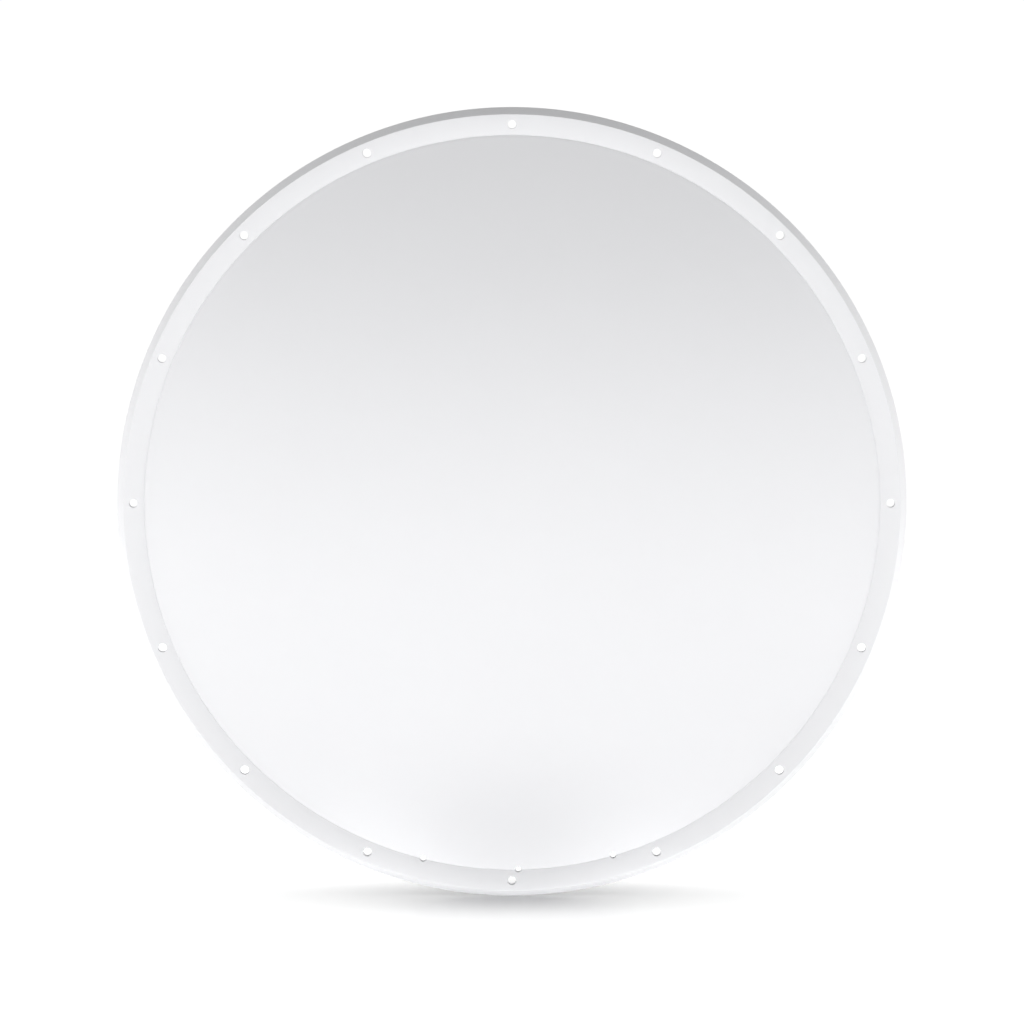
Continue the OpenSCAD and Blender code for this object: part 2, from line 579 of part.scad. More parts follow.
radome();
radome_inserts();
rim_gasket();
rear_pan();
shell_screws();
mounting_inserts();
power_connector();
data_connector();
connector_nuts();
connector_caps();
vent_plug();
ground_stud();
chassis_plate();
chassis_screws();
bearing_housing();
housing_screws();
upper_outer_race();
upper_ball_cage();
upper_inner_race();
lower_outer_race();
lower_ball_cage();
lower_inner_race();
housing_circlip();
race_spacer();
spindle();
spindle_nut();
main_gear();
gear_screws();
idler_gear();
idler_post();
idler_clip();
drive_pinion();
motor_shaft();
motor_body();
motor_end_caps();
motor_screws();
index_magnet();
index_sensor();
rotary_joint_stator();
rotary_joint_probe();
antenna_bracket();
bracket_screws();
array_casting();
slotted_waveguide();
array_window();
array_end_caps();
array_screws();
waveguide_feed();
transceiver_case();
transceiver_lid();
lid_screws();
power_board();
power_parts();
control_board();
control_parts();
board_standoffs();
board_screws();
rf_coax();
wiring_loom();
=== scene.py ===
import bpy, bmesh, math, json
from mathutils import Vector, Matrix


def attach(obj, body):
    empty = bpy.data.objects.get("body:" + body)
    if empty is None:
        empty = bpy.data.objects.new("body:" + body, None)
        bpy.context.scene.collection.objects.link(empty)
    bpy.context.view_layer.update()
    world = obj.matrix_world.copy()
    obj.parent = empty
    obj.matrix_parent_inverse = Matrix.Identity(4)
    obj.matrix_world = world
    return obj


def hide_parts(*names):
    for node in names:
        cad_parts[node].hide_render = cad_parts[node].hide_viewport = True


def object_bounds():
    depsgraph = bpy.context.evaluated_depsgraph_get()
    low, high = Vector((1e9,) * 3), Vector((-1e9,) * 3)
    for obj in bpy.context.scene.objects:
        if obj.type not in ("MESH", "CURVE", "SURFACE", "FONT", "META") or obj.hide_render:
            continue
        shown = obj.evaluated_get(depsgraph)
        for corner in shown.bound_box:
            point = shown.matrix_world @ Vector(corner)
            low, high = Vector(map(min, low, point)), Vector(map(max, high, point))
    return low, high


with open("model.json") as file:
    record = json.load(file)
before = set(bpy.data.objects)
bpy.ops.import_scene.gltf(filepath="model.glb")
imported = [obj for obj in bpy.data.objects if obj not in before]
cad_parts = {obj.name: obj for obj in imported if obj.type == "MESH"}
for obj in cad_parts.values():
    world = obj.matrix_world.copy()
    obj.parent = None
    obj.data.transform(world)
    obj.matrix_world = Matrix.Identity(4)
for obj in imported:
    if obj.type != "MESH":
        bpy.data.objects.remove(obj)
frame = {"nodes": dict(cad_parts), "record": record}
CAD_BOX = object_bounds()
scene = bpy.context.scene
NODES = frame["nodes"]

# ------------------------------------------------------------------ numbers
# The CAD is drawn with the dome's axis along local +z, in millimetres. P turns a
# local point into the row's frame, in metres.
def P(x, y, z):
    return Vector((x, -z - 7.0, y)) * 0.001

RS, ZC = 507.8338, -403.8338        # outer sphere of the dome
WALL = 4.0
BOLT_R, BOLT_HOLE = 311.0, 3.5
DRAIN_R, DRAIN_HOLE = 301.8, 2.5
DRAINS = [-89.0 + 15.0 * k for k in (-1, 0, 1)]
SCREW_R = 288.0

# ------------------------------------------------------------------ camera
def make_camera():
    cam = bpy.data.cameras.new("view_camera")
    ob = bpy.data.objects.new("view_camera", cam)
    scene.collection.objects.link(ob)
    scene.camera = ob
    cam.sensor_width = 36.0
    cam.lens = 341.6
    cam.clip_start, cam.clip_end = 0.1, 200.0
    cam.dof.use_dof = False
    el = math.radians(3.0)
    centre = P(0, 0, -15)
    dist = 8.0
    ob.location = centre + Vector((0, -math.cos(el), math.sin(el))) * dist
    ob.rotation_euler = (math.radians(90) - el, 0, 0)
    cam.shift_x = 0.0
    cam.shift_y = -10.0 / 1024.0
    return ob

make_camera()

# ------------------------------------------------------------------ materials
def srgb(r, g, b):
    f = lambda c: c / 12.92 if c <= 0.04045 else ((c + 0.055) / 1.055) ** 2.4
    return (f(r / 255), f(g / 255), f(b / 255), 1.0)


class Mat:
    """A small wrapper round a node tree: one Principled shader and procedural detail."""

    def __init__(self, name, color, rough=0.5, metal=0.0, ior=1.5, **sockets):
        m = bpy.data.materials.new(name)
        m.use_nodes = True
        self.m, self.t = m, m.node_tree
        self.bsdf = self.t.nodes["Principled BSDF"]
        self.out = self.t.nodes["Material Output"]
        self.color = tuple(color[:3]) + (1.0,)
        self.set("Base Color", self.color)
        self.set("Roughness", rough)
        self.set("Metallic", metal)
        self.set("IOR", ior)
        for k, v in sockets.items():
            self.set(k.replace("_", " "), v)
        m.diffuse_color = self.color
        self.co = self.t.nodes.new("ShaderNodeTexCoord")
        self.bump_in = None

    def set(self, k, v):
        self.bsdf.inputs[k].default_value = v

    def n(self, kind, **kw):
        node = self.t.nodes.new(kind)
        for k, v in kw.items():
            if k in node.inputs:
                node.inputs[k].default_value = v
            else:
                setattr(node, k, v)
        return node

    def link(self, a, b):
        self.t.links.new(a, b)

    def coords(self, scale=(1, 1, 1), rot=(0, 0, 0)):
        mp = self.n("ShaderNodeMapping")
        mp.inputs["Scale"].default_value = scale
        mp.inputs["Rotation"].default_value = rot
        self.link(self.co.outputs["Object"], mp.inputs["Vector"])
        return mp.outputs["Vector"]

    def noise(self, scale, detail=3.0, rough=0.55, distort=0.0, vec=None):
        nz = self.n("ShaderNodeTexNoise")
        nz.inputs["Scale"].default_value = scale
        nz.inputs["Detail"].default_value = detail
        nz.inputs["Roughness"].default_value = rough
        nz.inputs["Distortion"].default_value = distort
        self.link(vec if vec is not None else self.co.outputs["Object"], nz.inputs["Vector"])
        return nz.outputs["Fac"]

    def ramp(self, fac, stops, mode="LINEAR"):
        r = self.n("ShaderNodeValToRGB")
        r.color_ramp.interpolation = mode
        el = r.color_ramp.elements
        while len(el) > 1:
            el.remove(el[-1])
        for i, (p, c) in enumerate(stops):
            c = (c, c, c, 1.0) if isinstance(c, (int, float)) else tuple(c[:3]) + (1.0,)
            e = el[0] if i == 0 else el.new(p)
            e.position = p
            e.color = c
        self.link(fac, r.inputs["Fac"])
        return r.outputs["Color"]

    def mix(self, fac, a, b, kind="MIX"):
        mx = self.n("ShaderNodeMix", data_type="RGBA", blend_type=kind)
        for i, v in ((0, fac), (6, a), (7, b)):
            if hasattr(v, "is_linked") or hasattr(v, "links"):
                self.link(v, mx.inputs[i])
            else:
                mx.inputs[i].default_value = v if i == 0 else tuple(v[:3]) + (1.0,)
        return mx.outputs[2]

    def vary_color(self, fac, dark, light, lo=0.3, hi=0.7):
        c = [x for x in self.color[:3]]
        out = self.ramp(fac, [(lo, [x * dark for x in c]), (hi, [min(1.0, x * light) for x in c])])
        self.link(out, self.bsdf.inputs["Base Color"])
        return out

    def vary_rough(self, fac, lo, hi, a=0.3, b=0.7):
        out = self.ramp(fac, [(a, lo), (b, hi)])
        self.link(out, self.bsdf.inputs["Roughness"])
        return out

    def bump(self, fac, strength, distance):
        b = self.n("ShaderNodeBump")
        b.inputs["Strength"].default_value = strength
        b.inputs["Distance"].default_value = distance
        self.link(fac, b.inputs["Height"])
        if self.bump_in is not None:
            self.link(self.bump_in, b.inputs["Normal"])
        self.bump_in = b.outputs["Normal"]
        self.link(self.bump_in, self.bsdf.inputs["Normal"])
        return b


def moulded(name, color, rough=0.4, grain=1400.0, depth=0.00004, mottle=0.012, ior=1.49, strength=0.35):
    """Injection or press moulded plastic: a very fine skin texture and a faint mottle."""
    a = Mat(name, color, rough=rough, ior=ior)
    a.vary_color(a.noise(7.0, 5.0, 0.6), 1.0 - mottle, 1.0 + mottle * 0.5)
    a.vary_rough(a.noise(38.0, 4.0, 0.6), rough * 0.9, rough * 1.12)
    a.bump(a.noise(grain, 2.0, 0.5), strength, depth)
    a.bump(a.noise(26.0, 2.0, 0.5), 0.25, 0.00012)
    return a.m


def brushed(name, color, rough=0.32, axis=0, grain=900.0, aniso=0.0):
    """Brushed or turned metal: fine lines along one direction, and smudges."""
    a = Mat(name, color, rough=rough, metal=1.0)
    sc = [grain] * 3
    sc[axis] = grain * 0.03
    v = a.coords(scale=tuple(sc))
    lines = a.noise(1.0, 3.0, 0.6, vec=v)
    a.vary_color(a.noise(22.0, 4.0, 0.6), 0.9, 1.04)
    a.vary_rough(lines, rough * 0.75, rough * 1.3)
    a.bump(lines, 0.25, 0.00003)
    return a.m


def cast(name, color, rough=0.46, grain=620.0, metal=1.0):
    """Shot-blasted casting: pitted and uneven, with a faint random change of tone."""
    a = Mat(name, color, rough=rough, metal=metal)
    g = a.noise(grain, 4.0, 0.65)
    a.vary_color(a.noise(14.0, 5.0, 0.65), 0.86, 1.04)
    a.vary_rough(g, rough * 0.8, rough * 1.25)
    a.bump(g, 0.5, 0.0001)
    a.bump(a.noise(60.0, 2.0, 0.5), 0.3, 0.0002)
    return a.m


def rubber(name, color, rough=0.75):
    a = Mat(name, color, rough=rough, ior=1.5)
    a.vary_color(a.noise(18.0, 5.0, 0.6), 0.8, 1.35)
    a.vary_rough(a.noise(90.0, 3.0, 0.6), rough * 0.85, min(1.0, rough * 1.15))
    a.bump(a.noise(1500.0, 2.0, 0.6), 0.4, 0.00006)
    return a.m


def circuit(name, color):
    """Solder mask over copper: faint tracks, and glass weave under them."""
    a = Mat(name, color, rough=0.32, ior=1.5)
    v = a.coords(scale=(230, 230, 230))
    br = a.n("ShaderNodeTexVoronoi", feature="DISTANCE_TO_EDGE", distance="MANHATTAN")
    br.inputs["Scale"].default_value = 1.0
    a.link(v, br.inputs["Vector"])
    tracks = a.ramp(br.outputs["Distance"], [(0.0, 1.0), (0.05, 1.0), (0.09, 0.0)])
    weave = a.noise(1600.0, 1.0, 0.5)
    base = a.mix(tracks, color, [min(1.0, c * 1.9 + 0.02) for c in color[:3]])
    a.link(a.mix(weave, base, [c * 0.8 for c in color[:3]]), a.bsdf.inputs["Base Color"])
    a.bump(tracks, 0.4, 0.00005)
    return a.m


def polished(name, color, rough=0.16):
    a = Mat(name, color, rough=rough, metal=1.0)
    a.vary_color(a.noise(30.0, 4.0, 0.6), 0.93, 1.03)
    a.vary_rough(a.noise(160.0, 4.0, 0.65), rough * 0.7, rough * 1.5)
    return a.m


MATS = {
    "radome_plastic": moulded("radome_plastic", (0.868, 0.870, 0.886), rough=0.4, mottle=0.006, strength=0.2),
    "pan_plastic": moulded("pan_plastic", (0.80, 0.803, 0.815), rough=0.42, mottle=0.012),
    "rubber_seal": rubber("rubber_seal", (0.035, 0.035, 0.038), 0.85),
    "rubber_cap": rubber("rubber_cap", (0.03, 0.03, 0.033), 0.6),
    "brass": brushed("brass", (0.78, 0.57, 0.27), rough=0.3, axis=1),
    "gear_brass": brushed("gear_brass", (0.8, 0.6, 0.3), rough=0.28, axis=0, grain=700.0),
    "waveguide_brass": brushed("waveguide_brass", (0.74, 0.52, 0.27), rough=0.26, axis=0),
    "stainless": polished("stainless", (0.62, 0.62, 0.63), 0.24),
    "nickel": polished("nickel", (0.66, 0.63, 0.57), 0.2),
    "black_plastic": moulded("black_plastic", (0.028, 0.028, 0.031), rough=0.5, grain=1100.0, depth=0.00008, mottle=0.15),
    "sheet_aluminium": brushed("sheet_aluminium", (0.72, 0.725, 0.735), rough=0.36, axis=0),
    "cast_aluminium": cast("cast_aluminium", (0.6, 0.605, 0.615)),
    "bearing_steel": polished("bearing_steel", (0.6, 0.6, 0.615), 0.14),
    "bearing_balls": polished("bearing_balls", (0.64, 0.64, 0.655), 0.1),
    "spring_steel": polished("spring_steel", (0.09, 0.09, 0.095), 0.3),
    "machined_steel": brushed("machined_steel", (0.52, 0.52, 0.535), rough=0.27, axis=1),
    "gear_plastic": moulded("gear_plastic", (0.8, 0.77, 0.68), rough=0.35, mottle=0.02),
    "motor_laminations": moulded("motor_laminations", (0.03, 0.03, 0.032), rough=0.33, grain=600.0, mottle=0.1),
    "magnet": polished("magnet", (0.6, 0.6, 0.61), 0.18),
    "circuit_board": circuit("circuit_board", (0.012, 0.12, 0.055)),
    "electronics": moulded("electronics", (0.03, 0.03, 0.033), rough=0.42, mottle=0.1),
    "window_plastic": moulded("window_plastic", (0.78, 0.75, 0.66), rough=0.45, mottle=0.02),
    "coax": brushed("coax", (0.74, 0.5, 0.27), rough=0.3, axis=2),
    "cable_jacket": rubber("cable_jacket", (0.03, 0.03, 0.034), 0.55),
}
for sp in frame["record"]["subparts"]:
    ob = NODES[sp["node"]]
    ob.data.materials.clear()
    ob.data.materials.append(MATS[sp["material_slot"]])
SLOT_OF = {sp["node"]: sp["material_slot"] for sp in frame["record"]["subparts"]}

# ------------------------------------------------------------------ helpers
def put(name, verts, faces, slot, body, smooth=True, local=True, stand_for=()):
    """A new mesh piece from points in millimetres of the local frame."""
    me = bpy.data.meshes.new(name)
    pts = [P(*v) for v in verts] if local else [Vector(v) for v in verts]
    me.from_pydata(pts, [], faces)
    me.validate(verbose=False)
    bm = bmesh.new()
    bm.from_mesh(me)
    bmesh.ops.recalc_face_normals(bm, faces=bm.faces)
    bm.to_mesh(me)
    bm.free()
    me.materials.append(MATS[slot])
    if smooth:
        me.polygons.foreach_set("use_smooth", [True] * len(me.polygons))
        me.set_sharp_from_angle(angle=math.radians(32))
    ob = bpy.data.objects.new(name, me)
    scene.collection.objects.link(ob)
    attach(ob, body)
    if stand_for:
        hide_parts(*stand_for)
    return ob


def arc(cx, cz, r, a0, a1, n):
    """Points of an arc in a profile, angles in degrees."""
    return [(cx + r * math.cos(math.radians(a0 + (a1 - a0) * i / n)), cz + r * math.sin(math.radians(a0 + (a1 - a0) * i / n))) for i in range(n + 1)]


def rounded(pts, radii, n=5, closed=False):
    """A polyline with its corners rounded: radii[i] is the radius at pts[i], 0 keeps it sharp."""
    out = []
    m = len(pts)
    for i, p in enumerate(pts):
        r = radii[i] if isinstance(radii, (list, tuple)) else radii
        if (not closed and i in (0, m - 1)) or r <= 0:
            out.append(p)
            continue
        a, b = Vector(pts[i - 1]), Vector(pts[(i + 1) % m])
        p2 = Vector(p)
        u, v = (a - p2), (b - p2)
        lu, lv = u.length, v.length
        u.normalize(); v.normalize()
        ang = math.acos(max(-1, min(1, u.dot(v))))
        if ang > math.radians(177):
            out.append(p)
            continue
        d = min(r / math.tan(ang / 2), lu * 0.48, lv * 0.48)
        rr = d * math.tan(ang / 2)
        c = p2 + (u + v).normalized() * (rr / math.sin(ang / 2))
        s, e = p2 + u * d, p2 + v * d
        a0 = math.atan2(s.y - c.y, s.x - c.x)
        a1 = math.atan2(e.y - c.y, e.x - c.x)
        da = (a1 - a0 + math.pi) % (2 * math.pi) - math.pi
        for k in range(n + 1):
            t = a0 + da * k / n
            out.append((c.x + rr * math.cos(t), c.y + rr * math.sin(t)))
    return out


def perforated(name, profile, columns, patches, slot, body, stand_for=(), smooth_angle=32):
    """A solid of revolution with real through holes.
    profile: closed loop of (r, z); columns: angles in degrees; patches: holes as
    (r, angle, hole radius, r lo, r hi, angle lo, angle hi, edge break). Each patch is met
    once by the profile's front run and once by its back run."""
    prof = list(profile)
    nr, nc = len(prof), len(columns)
    verts, faces = [], []
    ids = {}
    pole = {}

    def vid(i, j):
        j %= nc
        i %= nr
        r, z = prof[i]
        if r < 1e-6:
            if i not in pole:
                pole[i] = len(verts)
                verts.append((0.0, 0.0, z))
            return pole[i]
        k = (i, j)
        if k not in ids:
            a = math.radians(columns[j])
            ids[k] = len(verts)
            verts.append((r * math.cos(a), r * math.sin(a), z))
        return ids[k]

    def near(a, b):
        return abs(a - b) < 1e-4

    skip = set()
    jobs = []
    for (hr, ha, hh, r0, r1, a0, a1, br) in patches:
        js = [j for j in range(nc) if a0 - 1e-4 <= columns[j] <= a1 + 1e-4]
        runs = []
        for i in range(nr):
            k = (i + 1) % nr
            ra, rb = prof[i][0], prof[k][0]
            if min(ra, rb) >= r0 - 1e-4 and max(ra, rb) <= r1 + 1e-4 and abs(ra - rb) > 1e-6:
                runs.append(i)
        # split into the front run (r growing) and the back run (r falling)
        front = [i for i in runs if prof[(i + 1) % nr][0] > prof[i][0]]
        back = [i for i in runs if prof[(i + 1) % nr][0] < prof[i][0]]
        loops = []
        for side in (front, back):
            for i in side:
                for j in js[:-1]:
                    skip.add((i, j))
            i0, i1 = side[0], (side[-1] + 1) % nr
            rows = side + [i1]
            loop = [vid(i0, j) for j in js[:-1]]
            loop += [vid(i, js[-1]) for i in rows[:-1]]
            loop += [vid(i1, j) for j in reversed(js[1:])]
            loop += [vid(i, js[0]) for i in reversed(rows[1:])]
            if side is back:                      # start the back loop at the same corner
                loop = [vid(i1, j) for j in js[:-1]]
                loop += [vid(i, js[-1]) for i in reversed(rows[1:])]
                loop += [vid(i0, j) for j in reversed(js[1:])]
                loop += [vid(i, js[0]) for i in rows[:-1]]
            loops.append(loop)
        jobs.append((hr, ha, hh, br, loops, front, back))
    for i in range(nr):
        for j in range(nc):
            if (i, j) in skip:
                continue
            f = [vid(i, j), vid(i, j + 1), vid(i + 1, j + 1), vid(i + 1, j)]
            g = []
            for x in f:
                if x not in g:
                    g.append(x)
            if len(g) > 2:
                faces.append(g)

    def height(run, r):
        seg = [(prof[i], prof[(i + 1) % nr]) for i in run]
        for (p, q) in seg:
            lo, hi = (p, q) if p[0] < q[0] else (q, p)
            if lo[0] - 1e-6 <= r <= hi[0] + 1e-6:
                t = (r - lo[0]) / (hi[0] - lo[0])
                return lo[1] + (hi[1] - lo[1]) * t
        p = min((p for s in seg for p in s), key=lambda p: abs(p[0] - r))
        return p[1]

    for (hr, ha, hh, br, loops, front, back) in jobs:
        cx, cy = hr * math.cos(math.radians(ha)), hr * math.sin(math.radians(ha))
        ends = []
        for loop, run, sgn in ((loops[0], front, -1), (loops[1], back, 1)):
            prev = loop
            nl = len(loop)
            dirs = [math.atan2(verts[v][1] - cy, verts[v][0] - cx) for v in loop]
            rad = [math.hypot(verts[v][1] - cy, verts[v][0] - cx) for v in loop]
            # even the directions out a little, so the hole's edge has even steps
            start = dirs[0]
            acc = [0.0]
            for k in range(1, nl):
                d = (dirs[k] - dirs[k - 1] + math.pi) % (2 * math.pi) - math.pi
                acc.append(acc[-1] + d)
            turn = 2 * math.pi if acc[-1] > 0 else -2 * math.pi
            want = [start + 0.5 * acc[k] + 0.5 * turn * k / nl for k in range(nl)]
            levels = [(0.72, 0.0), (0.42, 0.0), (0.18, 0.0), (0.0, 0.0)]
            for (t, dz) in levels:
                ring = []
                for k in range(nl):
                    a = dirs[k] + ((want[k] - dirs[k] + math.pi) % (2 * math.pi) - math.pi) * (1 - t)
                    rr = (hh + br) + (rad[k] - hh - br) * t
                    x, y = cx + rr * math.cos(a), cy + rr * math.sin(a)
                    ring.append(len(verts))
                    verts.append((x, y, height(run, math.hypot(x, y))))
                for k in range(nl):
                    faces.append([prev[k], prev[(k + 1) % nl], ring[(k + 1) % nl], ring[k]])
                prev = ring
            # rounded edge break into the hole
            for s in range(1, 4):
                t = s / 3 * math.pi / 2
                ring = []
                for k in range(nl):
                    a = want[k]
                    rr = hh + br * (1 - math.sin(t))
                    x, y = cx + rr * math.cos(a), cy + rr * math.sin(a)
                    xs, ys = cx + (hh + br) * math.cos(a), cy + (hh + br) * math.sin(a)
                    z = height(run, math.hypot(xs, ys)) + sgn * br * (1 - math.cos(t))
                    ring.append(len(verts))
                    verts.append((x, y, z))
                for k in range(nl):
                    faces.append([prev[k], prev[(k + 1) % nl], ring[(k + 1) % nl], ring[k]])
                prev = ring
            ends.append((prev, want))
        (fa, wa), (ba, wb) = ends
        nl = len(fa)
        if len(ba) == nl:
            for k in range(nl):
                faces.append([fa[k], fa[(k + 1) % nl], ba[(k + 1) % nl], ba[k]])
        else:
            raise RuntimeError("a hole's two edges differ")
    ob = put(name, verts, faces, slot, body, smooth=True, stand_for=stand_for)
    ob.data.set_sharp_from_angle(angle=math.radians(smooth_angle))
    return ob


def hole_columns(extra=(), base=288):
    """Angles for the revolved shells: even steps, with finer ones at each rim hole and drain."""
    cols = []
    spans = []
    for k in range(16):
        c = -180.0 + 22.5 * k
        h = math.degrees(5.0 / BOLT_R)
        pts = [c - h + 2 * h * i / 8 for i in range(9)]
        spans.append((c - h, c + h))
        cols += pts
    h8 = math.degrees(5.0 / BOLT_R)
    # the middle drain lies just beside the bottom rim hole and shares some of its columns
    e0 = -90.0 - h8 + 2 * h8 * 5 / 8
    half = -89.0 - e0
    for d in DRAINS:
        lo, hi = d - half, d + half
        spans.append((lo, hi))
        if abs(d + 89.0) < 1e-6:
            last = -90.0 + h8
            cols += [last + (hi - last) * i / 5 for i in range(1, 6)]
        else:
            cols += [lo + (hi - lo) * i / 8 for i in range(9)]
    step = 360.0 / base
    for k in range(base):
        a = -180.0 + step * k
        if all(not (lo - step * 0.45 < a + w < hi + step * 0.45) for lo, hi in spans for w in (0, 360, -360)):
            cols.append(a)
    cols = sorted(set(round(((c + 180.0) % 360.0) - 180.0, 6) for c in cols))
    return cols, half, h8


COLS, DRAIN_HALF, BOLT_HALF = hole_columns()
# the rim hole at 180 degrees straddles the seam, so the columns start just past it
COLS = sorted((c if c < 170.0 else c - 360.0) for c in COLS)


def rim_patches(hole, edge, drains=True, drain_edge=0.35):
    out = []
    for k in range(16):
        c = -180.0 + 22.5 * k
        out.append((BOLT_R, c, hole, 306.0, 316.0, c - BOLT_HALF, c + BOLT_HALF, edge))
    if drains:
        for d in DRAINS:
            out.append((DRAIN_R, d, DRAIN_HALF_HOLE[0], 297.6, 306.0, d - DRAIN_HALF, d + DRAIN_HALF, drain_edge))
    return out


DRAIN_HALF_HOLE = [DRAIN_HOLE]
RING_R = [297.6, 298.6, 299.6, 300.5, 301.2, 301.8, 302.3, 302.7, 303.2, 303.8, 304.5, 305.2, 306.0,
          307.2, 308.4, 309.7, 311.0, 312.3, 313.6, 314.8, 316.0]


def outer_z(r):
    return math.sqrt(RS * RS - r * r) + ZC


def inner_z(r):
    return math.sqrt((RS - WALL) ** 2 - r * r) + ZC


def smooth_step(a, b, x):
    t = max(0.0, min(1.0, (x - a) / (b - a)))
    return t * t * (3 - 2 * t)


def flange_front(r):
    """The front face from the dome's foot to the rim: a steep little foot, a shallow valley, a crowned land."""
    crown = 4.4 - 0.0085 * max(0.0, r - 307.0) ** 2 - 0.02 * max(0.0, 307.0 - r) ** 2
    dome = outer_z(min(r, 301.6)) - max(0.0, r - 301.6) * 3.2
    t = smooth_step(301.5, 302.7, r)
    valley = 4.15
    z = dome * (1 - t) + valley * t
    u = smooth_step(302.5, 304.0, r)
    return z * (1 - u) + crown * u


def build_radome():
    prof = []
    n = 64
    amax = math.asin(296.5 / RS)
    for i in range(n + 1):
        a = amax * i / n
        prof.append((RS * math.sin(a), RS * math.cos(a) + ZC))
    prof[0] = (0.0, RS + ZC)
    prof += [(r, flange_front(r)) for r in RING_R]
    edge = rounded([(316.0, flange_front(316.0)), (319.3, 3.25), (325.0, -14.6), (324.9, -15.0), (322.3, -15.0), (318.15, -0.05), (316.0, 0.0)],
                   [0, 0.55, 0.35, 0.3, 0.4, 0.8, 0], n=6)
    prof += edge[1:]
    prof += [(r, 0.0) for r in reversed(RING_R[:-1])]
    prof += rounded([(297.6, 0.0), (296.0, 0.0), (296.0, inner_z(296.0)), (290.0, inner_z(290.0))], [0, 0.5, 0.8, 0], n=4)[1:]
    amax2 = math.asin(290.0 / (RS - WALL))
    n2 = 50
    for i in range(n2 - 1, -1, -1):
        a = amax2 * i / n2
        prof.append(((RS - WALL) * math.sin(a), (RS - WALL) * math.cos(a) + ZC))
    prof[-1] = (0.0, RS - WALL + ZC)
    ob = perforated("radome_shell", prof, COLS, rim_patches(BOLT_HOLE, 0.45), "radome_plastic", "radome_cover", stand_for=("radome",), smooth_angle=38)
    return ob


radome = build_radome()

# ------------------------------------------------------------------ shape building
PZ, FZ = -130.0, -150.0             # pan floor's back, and the feet's ends


